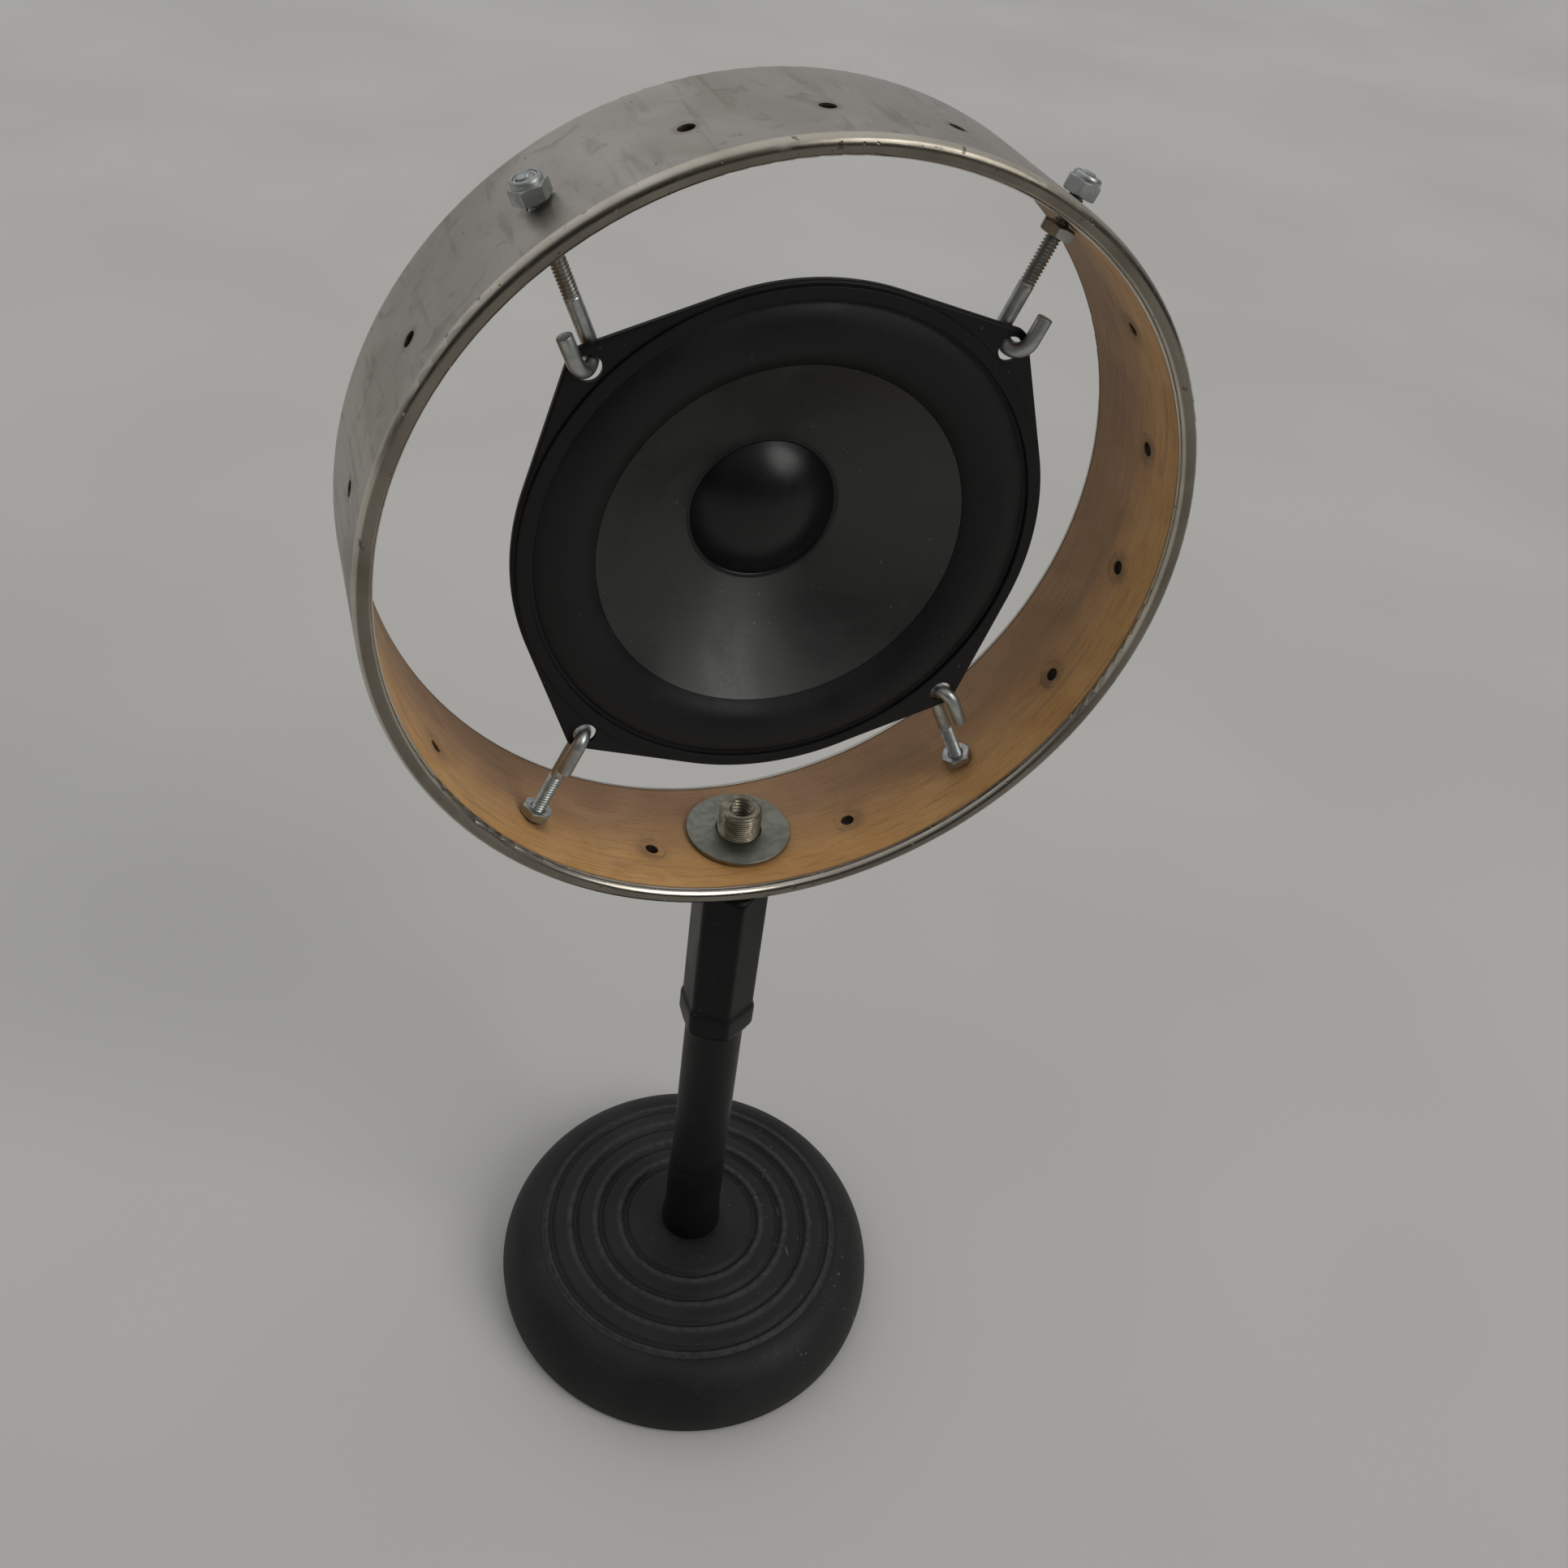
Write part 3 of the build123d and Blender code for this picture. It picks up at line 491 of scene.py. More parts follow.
def rounded(corners, steps=6):
    """A closed outline whose corners (x, y, fillet radius) are rounded off."""
    outline = []
    for i, (x, y, fillet) in enumerate(corners):
        here = Vector((x, y))
        if not fillet:
            outline.append((x, y))
            continue
        before = Vector(corners[i - 1][:2]) - here
        after = Vector(corners[(i + 1) % len(corners)][:2]) - here
        half = before.angle(after) / 2
        cut = min(fillet / math.tan(half), before.length * 0.49, after.length * 0.49)
        a = here + before.normalized() * cut
        b = here + after.normalized() * cut
        for k in range(steps + 1):
            t = k / steps
            outline.append(tuple(a * (1 - t) ** 2 + here * (2 * t * (1 - t)) + b * t**2))
    return outline


def along(origin, direction):
    """Stands local Z along a direction."""
    return Matrix.Translation(origin) @ Vector(direction).to_track_quat("Z", "Y").to_matrix().to_4x4()


def piece(name, skin, body, slot, replaces=(), crease=32.0, cutters=()):
    """Makes a named piece from a skin in millimetres, cuts it, and sets it riding on its body."""
    vertices, faces = skin
    mesh = bpy.data.meshes.new(name)
    mesh.from_pydata([v * MM for v in vertices], [], faces)
    mesh.materials.append(FINISHES[slot])
    obj = bpy.data.objects.new(name, mesh)
    bpy.context.collection.objects.link(obj)
    face_outwards(mesh)
    for cutter in cutters:
        cut_with(obj, cutter)
    obj.data.polygons.foreach_set("use_smooth", [True] * len(obj.data.polygons))
    obj.data.set_sharp_from_angle(angle=math.radians(crease))
    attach(obj, body)
    if replaces:
        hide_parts(*replaces)
    return obj


def face_outwards(mesh):
    """Makes a closed mesh's normals agree and point out."""
    bm = bmesh.new()
    bm.from_mesh(mesh)
    bmesh.ops.recalc_face_normals(bm, faces=bm.faces)
    bm.to_mesh(mesh)
    bm.free()


def cut_with(obj, skin):
    """Takes a closed skin in millimetres away from a piece."""
    mesh = bpy.data.meshes.new("cutter")
    mesh.from_pydata([v * MM for v in skin[0]], [], skin[1])
    face_outwards(mesh)
    cutter = bpy.data.objects.new("cutter", mesh)
    bpy.context.collection.objects.link(cutter)
    modifier = obj.modifiers.new("cut", "BOOLEAN")
    modifier.operation = "DIFFERENCE"
    modifier.solver = "EXACT"
    modifier.object = cutter
    depsgraph = bpy.context.evaluated_depsgraph_get()
    cut_mesh = bpy.data.meshes.new_from_object(obj.evaluated_get(depsgraph))
    obj.modifiers.remove(modifier)
    obj.data = cut_mesh
    bpy.data.objects.remove(cutter)


# --- shapes used more than once ---
def hexagon(across_flats):
    """Radius of a hexagon by angle."""

    def radius(angle):
        off = (angle + math.pi / 6) % (math.pi / 3) - math.pi / 6
        return across_flats / 2 / math.cos(off)

    return radius


def smaller(shape, limit):
    """The shape, no further out than a limit."""
    return lambda angle: min(value_at(shape, angle), limit)


def part_way(first, second, share):
    """A shape with a share of the way gone from a first to a second."""
    return lambda angle: value_at(first, angle) * (1 - share) + value_at(second, angle) * share


def thread(crest, depth, pitch, height):
    """Radius by angle of a right-hand screw thread at one height."""

    def radius(angle):
        turn = (height / pitch - angle / (2 * math.pi)) % 1.0
        ridge = abs(2 * turn - 1)
        return crest - depth * min(1.0, max(0.0, ridge * 1.3 - 0.15))

    return radius


def thread_rows(crest, depth, pitch, low, high, fade=0.0):
    """Rows of a screw thread between two heights, fading to its crest over the last part."""
    steps = max(2, round((high - low) / pitch * 8))
    rows = []
    for k in range(steps + 1):
        height = low + (high - low) * k / steps
        left = min(1.0, (high - height) / fade) if fade else 1.0
        rows.append((thread(crest, depth * left, pitch, height), height))
    return rows


def nut_rows(across_flats, thickness, bore):
    """Rows of a chamfered hexagon nut standing on height 0."""
    shape = hexagon(across_flats)
    flat = across_flats / 2
    corner = across_flats / math.sqrt(3)
    chamfer_r = flat * 0.97
    chamfer_height = (corner - flat) * 0.6
    face_r = flat * 0.93
    countersink = 0.5
    steps = 7
    chamfer = []
    for k in range(steps + 1):
        t = k / steps
        chamfer.append((smaller(shape, chamfer_r + (corner - chamfer_r) * t), chamfer_height * t))
    rows = [(bore + countersink, 0.0), (face_r, 0.0)] + chamfer
    rows += [(radius, thickness - height) for radius, height in reversed(chamfer)]
    rows += [(face_r, thickness), (bore + countersink, thickness)]
    return rows + [(bore, thickness - countersink), (bore, countersink)]


def washer_rows(inner, outer, low, high, edge=0.35):
    """Rows of a washer with stamped, rounded edges."""
    corners = [(inner, low, edge), (outer, low, edge), (outer, high, edge), (inner, high, edge * 0.6)]
    return rounded(corners, 4)


# --- stand ---
BASE_TOP = 37.5
HUB_R = 16.0
SHOULDER = (69.7, 32.6)  # radius and height where the cone of the upper face ends
GROOVE_DEPTH, GROOVE_WIDTH = 1.25, 1.35
RIDGE_HEIGHT, RIDGE_WIDTH = 0.75, 1.5
SOCKET_R = 12.0
FACE_R = 71.0  # the domed edge starts here
FACE_STEP = 0.25
EDGE_STEPS = 24
RIM = (86.6, 8.0)
EDGE_PULLS = (Vector((79.5, 30.6)), Vector((86.4, 18.0)))  # the domed edge's curve handles
BASE_FOOT = [(*RIM, 0), (86.2, 1.5, 2.6), (84.0, 1.5, 0)]  # radius, height, fillet
BASE_UNDERSIDE = [(78.0, 1.5), (77.6, 3.0), (72.0, 14.0), (26.0, 18.0), (SOCKET_R, 18.5)]


def base_height(radius):
    """Height of the base's upper face: a low cone with a ridge outside each rounded groove."""
    slope = (BASE_TOP - SHOULDER[1]) / (SHOULDER[0] - HUB_R)
    height = BASE_TOP - slope * max(0.0, radius - HUB_R)
    for groove in RING_GROOVES:
        off = radius - groove
        height -= GROOVE_DEPTH * math.exp(-((off / GROOVE_WIDTH) ** 2))
        if off > 0 and groove != RING_GROOVES[-1]:
            height += RIDGE_HEIGHT * math.exp(-(((off - NOSE_OFFSET) / RIDGE_WIDTH) ** 2))
    return height


def base_rows():
    """Closed section of the casting: top, domed edge, underside and tube socket."""
    top = []
    radius = SOCKET_R
    while radius < FACE_R:
        top.append((radius, base_height(radius)))
        radius += FACE_STEP
    start, end = Vector((FACE_R, base_height(FACE_R))), Vector(RIM)
    shoulder_pull, rim_pull = EDGE_PULLS
    edge = []
    for k in range(1, EDGE_STEPS + 1):
        t = k / EDGE_STEPS
        point = start * (1 - t) ** 3 + shoulder_pull * (3 * t * (1 - t) ** 2)
        point += rim_pull * (3 * t * t * (1 - t)) + end * t**3
        edge.append(tuple(point))
    return top + edge + rounded(BASE_FOOT, 6)[1:] + BASE_UNDERSIDE


piece("base", turned(base_rows(), angles=even_angles(256)), "stand", "base_black", ["base_casting"])

# The sleeve round the tube: a rounded foot that it flares out to, and a top that tapers away.
FOOT_BOTTOM = 37.3
SLEEVE_TOP = 85.0
SLEEVE_BORE_R = 11.87
SLEEVE_OUTSIDE = [  # radius, height, fillet
    (12.9, FOOT_BOTTOM, 0),
    (13.35, 39.0, 1.2),
    (13.3, 42.5, 3.0),
    (12.47, 50.0, 3.5),
    (12.47, 76.0, 4.0),
    (SLEEVE_BORE_R + 0.1, SLEEVE_TOP, 0),
]
sleeve_rows = [(SLEEVE_BORE_R, FOOT_BOTTOM)] + rounded(SLEEVE_OUTSIDE) + [(SLEEVE_BORE_R, SLEEVE_TOP)]
piece("tube_foot", turned(sleeve_rows), "stand", "sleeve_black", ["foot_collar", "tube_sleeve"])

# --- clutch grip ---
GRIP_BOTTOM = 178.5
GRIP_TOP = 256.0
LIP_R = 12.8
LIP_HEIGHT = 3.2
BULGE_TOP = 189.0
BULGE_FADE = 4.4  # height in which the bulge fades into the flats
BULGE_R = 15.2
ARRIS_R = 14.4
FLAT_R = 12.87  # from the axis to the middle of a flat
ARRIS_LIMIT = 14.45  # the flats and this circle meet in a soft arris
ARRIS_SHARPNESS = 7
FLATS_TOP = GRIP_TOP - 3.0  # the edge round the top begins here
TOP_EDGE_INSET = 2.2
GRIP_INSIDE = [  # radius and height, from the top hole down to the skirt round the tube
    (8.5, GRIP_TOP),
    (8.4, GRIP_TOP - 0.4),
    (8.4, 243.0),
    (9.6, 243.0),
    (10.75, 236.0),
    (10.75, 186.4),
    (12.2, 186.4),
]


def grip_flats(angle):
    """Six flats with rounded arrises, one arris towards -Y."""
    off = (angle + math.pi / 2 + math.pi / 6) % (math.pi / 3) - math.pi / 6
    off = math.pi / 6 - abs(off)
    straight = FLAT_R / math.cos(off)
    both = math.exp(-straight * ARRIS_SHARPNESS) + math.exp(-ARRIS_LIMIT * ARRIS_SHARPNESS)
    return -math.log(both) / ARRIS_SHARPNESS


def grip_bulge(angle):
    """The bulge above the lip, where the six sides stand a little further out."""
    return grip_flats(angle) + BULGE_R - ARRIS_R


def grip_rows():
    """Closed section of the grip: lip, bulge, flats, top and bore."""
    rows = [(LIP_R - 0.45, GRIP_BOTTOM), (LIP_R - 0.1, GRIP_BOTTOM)]
    lip_steps, fade_steps, flat_steps, top_steps = 10, 12, 19, 6
    for k in range(1, lip_steps + 1):
        turn = math.pi / 2 * k / lip_steps
        shape = part_way(LIP_R, grip_bulge, math.sin(turn))
        rows.append((shape, GRIP_BOTTOM + LIP_HEIGHT * (1 - math.cos(turn))))
    rows.append((grip_bulge, BULGE_TOP))
    for k in range(1, fade_steps + 1):
        t = k / fade_steps
        shape = part_way(grip_bulge, grip_flats, (1 - math.cos(math.pi * t)) / 2)
        rows.append((shape, BULGE_TOP + BULGE_FADE * t))
    flats_bottom = BULGE_TOP + BULGE_FADE
    for k in range(1, flat_steps + 1):
        rows.append((grip_flats, flats_bottom + (FLATS_TOP - flats_bottom) * k / flat_steps))
    for k in range(1, top_steps + 1):
        t = k / top_steps
        limit = ARRIS_R - TOP_EDGE_INSET * t * t
        rows.append((smaller(grip_flats, limit), FLATS_TOP + (GRIP_TOP - FLATS_TOP) * t))
    return rows + GRIP_INSIDE


grip_skin = turned(grip_rows(), angles=even_angles(288))
piece("grip", grip_skin, "clutch", "grip_black", ["clutch_grip"], crease=50)

# --- stub, nuts and washers on the stand's axis ---
INCH = 25.4
STUB_R = 7.9375
STUB_THREAD_DEPTH = 0.6
STUB_PITCH = INCH / 27
STUB_BORE_R = 4.1
BORE_THREAD_DEPTH = 0.9
BORE_PITCH = INCH / 16
NECK_R = 6.5
STUB_FOOT = 251.1
STUB_BOTTOM = 263.1
BORE_BOTTOM = 275.6
STUB_TOP = 291.57
AXIS_R = 0.05  # a floor across the axis stops this far from it
JAM_NUT_AF = 22.2
JAM_NUT_T = 5.0
JAM_NUT_BOTTOM = 266.1
LOWER_WASHER = (8.2, 16.0, 271.1, 272.7)  # inner radius, outer radius, bottom, top
FENDER_WASHER = (8.25, 19.05, 280.17, 281.77)
FENDER_WASHER_EDGE = 0.45


def stub_rows():
    """Closed section of the stub: neck, outer thread, chamfers, inner thread."""
    rows = [(NECK_R, STUB_FOOT), (NECK_R, STUB_BOTTOM), (7.3, STUB_BOTTOM)]
    rows += thread_rows(STUB_R, STUB_THREAD_DEPTH, STUB_PITCH, STUB_BOTTOM + 0.4, STUB_TOP - 0.9)
    rows += [(STUB_R - 0.5, STUB_TOP - 0.5), (STUB_R - 1.0, STUB_TOP), (STUB_BORE_R + 1.0, STUB_TOP)]
    inner_crest = STUB_BORE_R + 0.65
    rows += thread_rows(inner_crest, BORE_THREAD_DEPTH, BORE_PITCH, BORE_BOTTOM, STUB_TOP - 0.5)[::-1]
    return rows + [(AXIS_R, BORE_BOTTOM), (AXIS_R, STUB_FOOT)]


stub_skin = turned(stub_rows(), angles=even_angles(96))
piece("stub", stub_skin, "post", "stub_nickel", ["thread_stub"], crease=60)
jam_nut_place = along((0, 0, JAM_NUT_BOTTOM), (0, 0, 1))
jam_nut_skin = turned(nut_rows(JAM_NUT_AF, JAM_NUT_T, STUB_R), jam_nut_place)
piece("thin_nut", jam_nut_skin, "post", "zinc", ["jam_nut"])
piece("small_washer", turned(washer_rows(*LOWER_WASHER)), "post", "zinc", ["lower_washer"])
fender_skin = turned(washer_rows(*FENDER_WASHER, FENDER_WASHER_EDGE), angles=even_angles(192))
piece("large_washer", fender_skin, "drum", "washer_zinc", ["fender_washer"])


# --- hook bolts and their nuts ---
BOLT_R = 2.4
SMOOTH_R = BOLT_R - 0.05
BOLT_END_R = 1.6
BOLT_THREAD_DEPTH = 0.55
BOLT_PITCH = INCH / 24
THREAD_LENGTH = 34.0
BOLT_PROUD = 0.6
HEX_AF = 9.5
HEX_NUT_T = 3.2
LOCK_HEX_T = 4.3
LOCK_NUT_T = 6.0
WALL = SHELL_R - LINER_R
NYLON_ROWS = [(BOLT_R, 4.95), (3.2, 4.95), (3.2, 5.6), (3.0, 5.75), (BOLT_R + 0.1, 5.6)]


class Hook:
    """The line of one hook bolt: a straight shank, a half-turn bend through an ear, and a tip."""

    def __init__(self, shell_angle, ear_angle, twist, tip_length):
        self.tip_length = tip_length
        ear = math.radians(ear_angle - SPEAKER_ROLL)
        hole = SPEAKER_CENTRE + Vector((math.cos(ear), 0, math.sin(ear))) * EAR_PITCH_R
        hole.y = BRACKET_Y - HOOK_PITCH / 2
        turn = math.radians(twist)
        self.bend_r = HOOK_PITCH / math.cos(turn) / 2
        self.seat = shell_point(shell_angle, LINER_R)
        self.inward = (Vector((hole.x, BRACKET_Y, hole.z)) - self.seat).normalized()
        for _ in range(8):  # the shank's line and the bend's centre settle against each other
            across = Vector((-self.inward.z, 0, self.inward.x))
            if across.x < 0:
                across.negate()
            self.offset = Vector((0, -math.cos(turn), 0)) + across * math.sin(turn)
            self.centre = hole - self.inward * self.bend_r
            self.shank_end = self.centre - self.offset * self.bend_r
            self.inward = (self.shank_end - self.seat).normalized()
        radial = (Vector((0, BRACKET_Y, SHELL_CENTRE.z)) - self.seat).normalized()
        self.tilt_gap = HEX_AF / math.sqrt(3) * math.tan(self.inward.angle(radial)) + 0.2
        self.lock_seat = self.seat - self.inward * (WALL + self.tilt_gap)
        self.outer_end = self.lock_seat - self.inward * (LOCK_NUT_T + BOLT_PROUD)


def bolt_skin(hook):
    """Threaded rod, smooth shank, bend and flat-cut tip, as one skin."""
    angles = even_angles(32)
    side = hook.inward.cross(hook.offset).normalized()
    length = (hook.shank_end - hook.outer_end).length

    def ring(centre, forward, radius):
        other = forward.cross(side).normalized()
        points = []
        for a in angles:
            points.append(centre + (side * math.cos(a) + other * math.sin(a)) * value_at(radius, a))
        return points

    rings = [ring(hook.outer_end, hook.inward, BOLT_END_R)]
    reach = min(THREAD_LENGTH, length - 2.0)
    for radius, height in thread_rows(BOLT_R, BOLT_THREAD_DEPTH, BOLT_PITCH, 0.5, reach, fade=1.5):
        rings.append(ring(hook.outer_end + hook.inward * height, hook.inward, radius))
    rings.append(ring(hook.outer_end + hook.inward * (reach + 0.8), hook.inward, SMOOTH_R))
    rings.append(ring(hook.shank_end, hook.inward, SMOOTH_R))
    bend_steps = 24
    for k in range(1, bend_steps + 1):
        turn = math.pi * k / bend_steps
        outwards = hook.inward * math.sin(turn) - hook.offset * math.cos(turn)
        forward = hook.inward * math.cos(turn) + hook.offset * math.sin(turn)
        rings.append(ring(hook.centre + outwards * hook.bend_r, forward, SMOOTH_R))
    tip_start = hook.centre + hook.offset * hook.bend_r
    for back, radius in ((0.35, SMOOTH_R), (0.08, SMOOTH_R - 0.12), (0.0, SMOOTH_R - 0.4)):
        rings.append(ring(tip_start - hook.inward * (hook.tip_length - back), -hook.inward, radius))
    return loft(rings, loop=False)


def lock_nut_rows():
    """A hexagon with a round collar rolled over the nylon ring."""
    flat = HEX_AF / 2
    rows = nut_rows(HEX_AF, LOCK_HEX_T, BOLT_R)[:-4]
    rows += [(flat * 0.93, LOCK_HEX_T), (flat * 0.92, 4.5), (flat * 0.92, 5.1), (flat * 0.88, 5.6)]
    rows += [(flat * 0.8, 5.95), (flat * 0.74, LOCK_NUT_T), (3.3, 5.9), (3.25, 4.9)]
    return rows + [(BOLT_R, 4.9), (BOLT_R, 0.5)]


for name, values in HOOKS.items():
    hook = Hook(*values)
    nut_place = along(hook.seat + hook.inward * hook.tilt_gap, hook.inward)
    nut_skin = turned(nut_rows(HEX_AF, HEX_NUT_T, BOLT_R), nut_place)
    lock_place = along(hook.lock_seat, -hook.inward)
    piece(f"hook_{name}", bolt_skin(hook), "drum", "zinc", [f"hook_bolt_{name}"], crease=50)
    piece(f"hex_nut_{name}", nut_skin, "drum", "zinc", ["inner_hex_nuts"])
    piece(f"lock_nut_{name}", turned(lock_nut_rows(), lock_place), "drum", "zinc", ["outer_lock_nuts"])
    piece(f"nylon_ring_{name}", turned(NYLON_ROWS, lock_place), "drum", "insert_nylon", ["nylon_inserts"])

# --- speaker frame ---
FLANGE_R = 84.3
EAR_CORNER_R = 5.0
EAR_CENTRE_R = 89.0
EAR_TANGENT = math.acos((FLANGE_R - EAR_CORNER_R) / EAR_CENTRE_R)
CORNER_SPAN = math.atan2(
    EAR_CORNER_R * math.sin(EAR_TANGENT), EAR_CENTRE_R + EAR_CORNER_R * math.cos(EAR_TANGENT)
)


def flange_edge(inset):
    """Radius by angle of the eared outline, moved in by an inset."""

    def radius(angle):
        off = abs((angle % (math.pi / 2)) - math.pi / 4)
        corner = EAR_CORNER_R - inset
        if off < CORNER_SPAN:
            return EAR_CENTRE_R * math.cos(off) + math.sqrt(corner**2 - (EAR_CENTRE_R * math.sin(off)) ** 2)
        if off < EAR_TANGENT:
            return (FLANGE_R - inset) / math.cos(EAR_TANGENT - off)
        return FLANGE_R - inset

    return radius


def flange_angles():
    """Angles of a full turn, closer together at the ears' corners."""
    angles = set(even_angles(288))
    for ear in EAR_ANGLES:
        for k in range(-12, 13):
            angles.add((math.radians(ear) + CORNER_SPAN * 1.4 * k / 12) % (2 * math.pi))
    return sorted(angles)


WINDOW_NEAR = (70.3, 73.4, 12.0)  # the bowl's inner and outer radius and depth, before the windows
WINDOW_FAR = (47.0, 50.2, 27.0)  # and behind them
WINDOW_HALF_WIDTH = 17.0
FLANGE_HOLE_R = 79.0
EDGE_FILLET = 1.0
EAR_HOLE_R = 3.8
EAR_CUT = (-3.0, 4.0)  # depths between which an ear's hole is cut
GASKET = [(79.2, 0.0, 0.1), (79.2, -1.1, 0.5), (83.0, -1.1, 0.6), (83.0, 0.0, 0.1)]


def flange_rows():
    """Closed section of the frame's front: flange, turned-back edge, and the bowl up to the windows."""
    rows = [(FLANGE_HOLE_R, 0.0)]
    fillet_steps = 6
    for k in range(fillet_steps + 1):
        turn = math.pi / 2 * k / fillet_steps
        edge = flange_edge(EDGE_FILLET * (1 - math.sin(turn)))
        rows.append((edge, EDGE_FILLET * (1 - math.cos(turn))))
    rows += [(flange_edge(0.0), 2.3), (flange_edge(0.2), 2.5)]
    rows += [(flange_edge(1.1), 2.5), (flange_edge(1.2), 1.3)]
    inner, outer, depth = WINDOW_NEAR
    bowl = [(81.6, 1.2, 0), (81.0, 3.0, 1.0), (76.5, 10.0, 2.5), (outer, depth, 0)]
    bowl += [(inner, depth, 0), (75.0, 9.0, 1.5), (FLANGE_HOLE_R, 3.0, 1.0)]
    return rows + rounded(bowl, 4)


def back_ring_rows():
    """Closed section of the bowl behind the windows."""
    inner, outer, depth = WINDOW_FAR
    bowl = [(outer, depth, 0), (44.0, 31.0, 2.5), (38.0, 34.0, 1.5), (36.5, 37.2, 0.8), (15.0, 37.2, 0)]
    bowl += [(15.0, 36.0, 0), (34.9, 36.0, 0.6), (36.4, 33.0, 0.8), (42.6, 29.8, 1.5), (inner, depth, 0)]
    return rounded(bowl, 4)


def arm_skin(ear):
    """One sloping arm between two windows, as a closed skin."""
    rings = []
    depth_steps = 8
    across = 14
    for k in range(-1, depth_steps + 2):
        t = k / depth_steps
        inner, outer, depth = (a + (b - a) * t for a, b in zip(WINDOW_NEAR, WINDOW_FAR))
        span = math.pi / 4 - math.asin(WINDOW_HALF_WIDTH / outer)
        ring = []
        for radius, way in ((outer - 0.02, 1), (inner + 0.02, -1)):
            for i in range(across + 1):
                a = math.radians(ear) + way * span * (2 * i / across - 1)
                ring.append(SPEAKER @ Vector((radius * math.cos(a), radius * math.sin(a), depth)))
        rings.append(ring)
    return loft(rings, loop=False)


def ear_holes():
    """Cutters for the four ears' holes."""
    cutters = []
    for ear in EAR_ANGLES:
        a = math.radians(ear)
        hole = Matrix.Translation((EAR_PITCH_R * math.cos(a), EAR_PITCH_R * math.sin(a), 0))
        rows = [(EAR_HOLE_R, depth) for depth in EAR_CUT]
        cutters.append(turned(rows, SPEAKER @ hole, even_angles(40), loop=False))
    return cutters


def speaker_turned(rows):
    """A skin turned about the speaker's axis, from (radius, depth) rows."""
    return turned(rows, SPEAKER, even_angles(192))


basket_skin = turned(flange_rows(), SPEAKER, flange_angles())
piece("basket", basket_skin, "drum", "basket_black", ["speaker_basket"], cutters=ear_holes())
piece("basket_back", speaker_turned(back_ring_rows()), "drum", "basket_black", ["speaker_basket"])
for ear in EAR_ANGLES:
    piece(f"basket_arm_{ear}", arm_skin(ear), "drum", "basket_black", ["speaker_basket"])
gasket_skin = turned(rounded(GASKET), SPEAKER, even_angles(256))
piece("gasket", gasket_skin, "drum", "gasket_black", ["front_gasket"])


# --- surround, spider, cone and cap ---
def arc_through(start, middle, end, steps):
    """Points of the circle through three points."""
    (ax, ay), (bx, by), (cx, cy) = start, middle, end
    d = 2 * (ax * (by - cy) + bx * (cy - ay) + cx * (ay - by))
    a_square, b_square, c_square = ax**2 + ay**2, bx**2 + by**2, cx**2 + cy**2
    ux = (a_square * (by - cy) + b_square * (cy - ay) + c_square * (ay - by)) / d
    uy = (a_square * (cx - bx) + b_square * (ax - cx) + c_square * (bx - ax)) / d
    radius = math.hypot(ax - ux, ay - uy)
    first, mid, last = (math.atan2(y - uy, x - ux) for x, y in (start, middle, end))
    sweep = (last - first) % (2 * math.pi)
    if (mid - first) % (2 * math.pi) > sweep:
        sweep -= 2 * math.pi
    turns = [first + sweep * k / steps for k in range(steps + 1)]
    return [(ux + radius * math.cos(turn), uy + radius * math.sin(turn)) for turn in turns]


def surround_rows():
    """Closed section of the half roll, with its flat land against the cone's edge."""
    front = arc_through((58.8, 3.1), (68.5, -2.2), (78.0, 0.2), 28)
    back = arc_through((77.6, 1.1), (68.5, -1.3), (58.8, 4.0), 28)
    land = [(79.0, 0.15), (79.0, 1.1)]
    return front + land + back


def cone_rows():
    """Closed section of the slightly flared cone, from its edge to the neck."""
    neck_r = 13.02
    front = arc_through((58.7, 3.3), (41.0, 15.9), (23.7, 25.7), 24)
    back = arc_through((23.7, 26.4), (41.0, 16.6), (58.7, 4.0), 24)
    return [(58.75, 3.0)] + front + [(neck_r, 30.3), (neck_r, 31.0)] + back


def cap_rows():
    """Closed section of the dust cap with the bead of glue round it."""
    edge, rise, cap_r, wall = 25.3, 9.5, 23.7, 0.5
    tip_r = 0.02  # the skin stops this far from the axis
    steps = 20
    sphere_r = (cap_r**2 + rise**2) / (2 * rise)
    centre = edge - rise + sphere_r
    span = math.asin(cap_r / sphere_r)
    turns = [span * k / steps for k in range(1, steps + 1)]
    inner_r = sphere_r - wall
    front = [(sphere_r * math.sin(a), centre - sphere_r * math.cos(a)) for a in turns]
    back = [(inner_r * math.sin(a), centre - inner_r * math.cos(a)) for a in reversed(turns[:-1])]
    glue = [(24.1, 25.0), (24.9, 24.7), (25.4, 25.1), (25.2, 25.5), (23.4, 25.9)]
    return [(tip_r, centre - sphere_r)] + front + glue + back + [(tip_r, centre - inner_r)]


def spider_rows():
    """Closed section of the corrugated disc, cupped forwards to the coil former."""
    former_r, former_depth = 13.1, 31.9
    width, cup, thickness = 21.6, 3.3, 0.45
    swing_height, swings = 0.3, 5
    steps = 60
    upper = []
    for k in range(steps + 1):
        t = k / steps
        swing = swing_height * math.sin(t * math.pi) ** 0.5 * math.sin(t * 2 * swings * math.pi)
        upper.append((former_r + width * t, former_depth + cup * t + swing))
    return upper + [(radius, depth + thickness) for radius, depth in reversed(upper)]


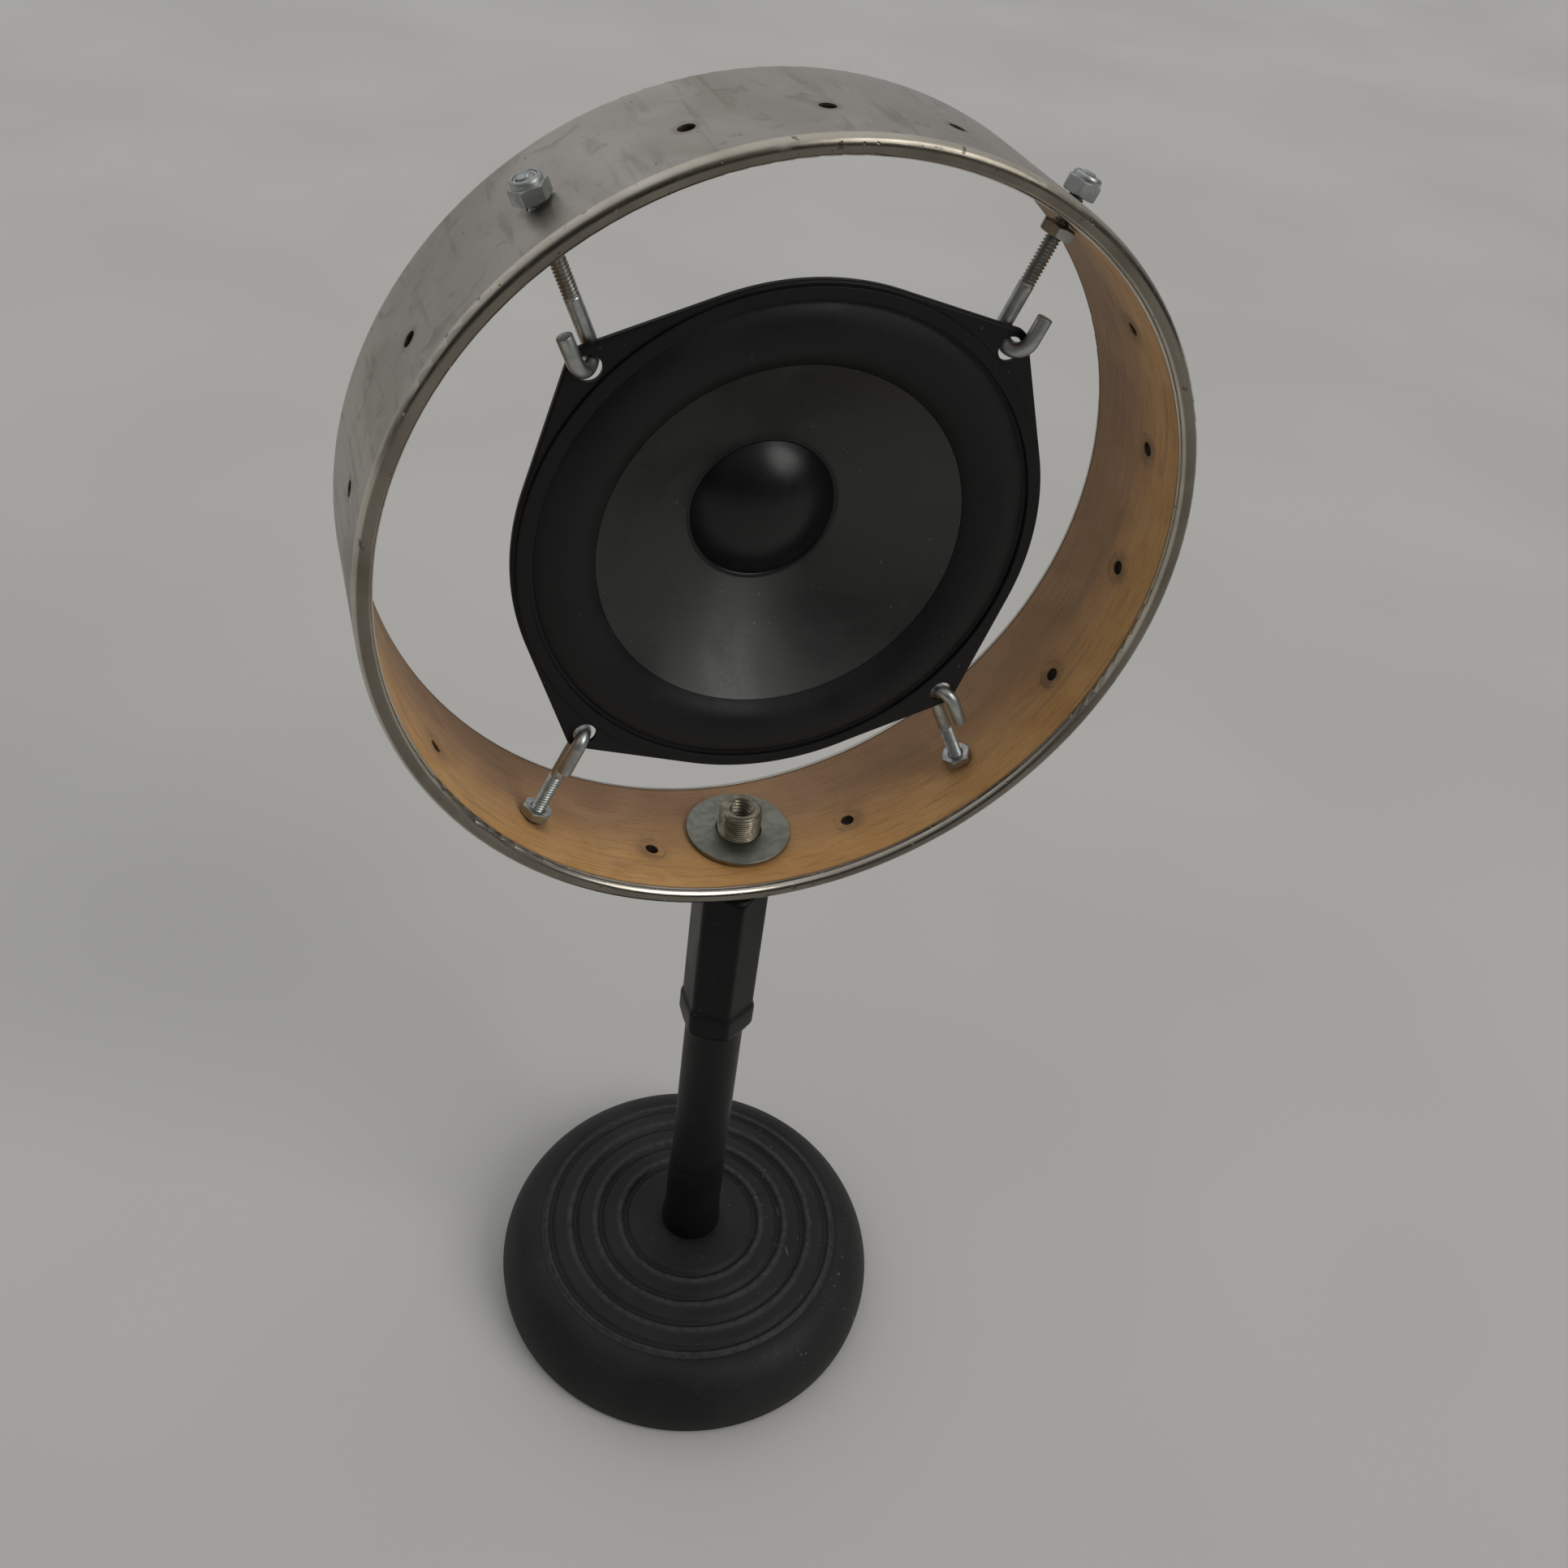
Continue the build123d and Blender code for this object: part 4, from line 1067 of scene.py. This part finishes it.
def bending(name, rows, slot, node):
    """A soft ring between the frame and the cone, which in the real speaker bends as the cone travels; here
    it is taken off the drum's body and kept where it stands.
    """
    obj = piece(name, speaker_turned(rows), "drum", slot, [node])
    obj.parent = None
    del obj["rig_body"]
    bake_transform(obj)


bending("roll_surround", surround_rows(), "surround_rubber", "surround")
bending("cloth_spider", spider_rows(), "spider_cloth", "spider")
piece("cone_body", speaker_turned(cone_rows()), "driver", "cone_black", ["cone"])
piece("cap", speaker_turned(cap_rows()), "driver", "dust_cap_black", ["dust_cap"], crease=60)

# --- CAD nodes that stay, with their finishes ---
for subpart in frame["record"]["subparts"]:
    node = frame["nodes"][subpart["node"]]
    if not node.hide_render:
        node.data.materials.clear()
        node.data.materials.append(FINISHES[subpart["material_slot"]])

# --- camera ---
camera = bpy.data.objects.new("camera", bpy.data.cameras.new("camera"))
bpy.context.collection.objects.link(camera)
backwards = Vector(
    (
        math.sin(CAMERA_AZIMUTH) * math.cos(CAMERA_ELEVATION),
        -math.cos(CAMERA_AZIMUTH) * math.cos(CAMERA_ELEVATION),
        math.sin(CAMERA_ELEVATION),
    )
)
level = (-backwards).cross(Vector((0, 0, 1))).normalized()
down = (-backwards).cross(level)
image_right = level * math.cos(CAMERA_ROLL) + down * math.sin(CAMERA_ROLL)
image_down = down * math.cos(CAMERA_ROLL) - level * math.sin(CAMERA_ROLL)
camera.matrix_world = Matrix.Translation(Vector(CAMERA_EYE) * MM) @ Matrix(
    (image_right, -image_down, backwards)
).transposed().to_4x4()
camera.data.lens = CAMERA_LENS
camera.data.sensor_width = SENSOR
camera.data.clip_start = 0.01
camera.data.clip_end = 100.0
bpy.context.scene.camera = camera

# --- studio ---
FLOOR_HALF = 9.0  # metres
KEY_FROM = Vector((0.53, -0.59, 0.61))
KEY_ENERGY = 0.9
KEY_ANGLE = math.radians(34)
KEY_COLOUR = (1.0, 0.985, 0.96)
SKY_BRIGHTEST = Vector((-0.05, 0.42, 0.90)).normalized()
SKY_DARK = (0.05, 0.05, 0.051, 1)
SKY_BRIGHT = (0.66, 0.665, 0.68, 1)
SKY_BRIGHT_FROM = 0.92  # how nearly a direction has to point at the brightest part

floor_finish = Finish("floor_pale", Roughness=0.75)
floor_tone = floor_finish.between(floor_finish.noise(400, detail=2), 0.3, 0.7)
floor_finish.feed(floor_finish.mix(floor_tone, (0.56, 0.55, 0.52), (0.60, 0.59, 0.56)))
floor_mesh = bpy.data.meshes.new("floor")
floor_corners = [(x * FLOOR_HALF, y * FLOOR_HALF, 0) for x, y in ((-1, -1), (1, -1), (1, 1), (-1, 1))]
floor_mesh.from_pydata(floor_corners, [], [(0, 1, 2, 3)])
floor_mesh.materials.append(floor_finish.material)
floor = bpy.data.objects.new("floor", floor_mesh)
bpy.context.collection.objects.link(floor)

key = bpy.data.objects.new("key", bpy.data.lights.new("key", "SUN"))
key.data.energy = KEY_ENERGY
key.data.angle = KEY_ANGLE
key.data.color = KEY_COLOUR
key.rotation_euler = (-KEY_FROM).to_track_quat("-Z", "Y").to_euler()
bpy.context.collection.objects.link(key)

world = bpy.data.worlds.new("studio")
world.use_nodes = True
bpy.context.scene.world = world
world_nodes = world.node_tree.nodes
world_links = world.node_tree.links
sky_place = world_nodes.new("ShaderNodeTexCoord")
sky_height = world_nodes.new("ShaderNodeVectorMath")
sky_height.operation = "DOT_PRODUCT"
sky_height.inputs[1].default_value = SKY_BRIGHTEST
sky_ramp = world_nodes.new("ShaderNodeValToRGB")
darkest, brightest = sky_ramp.color_ramp.elements
darkest.position = 0.0
darkest.color = SKY_DARK
brightest.position = SKY_BRIGHT_FROM
brightest.color = SKY_BRIGHT
world_links.new(sky_place.outputs["Generated"], sky_height.inputs[0])
world_links.new(sky_height.outputs["Value"], sky_ramp.inputs[0])
world_links.new(sky_ramp.outputs[0], world_nodes["Background"].inputs[0])
bpy.context.scene.view_settings.view_transform = "Standard"
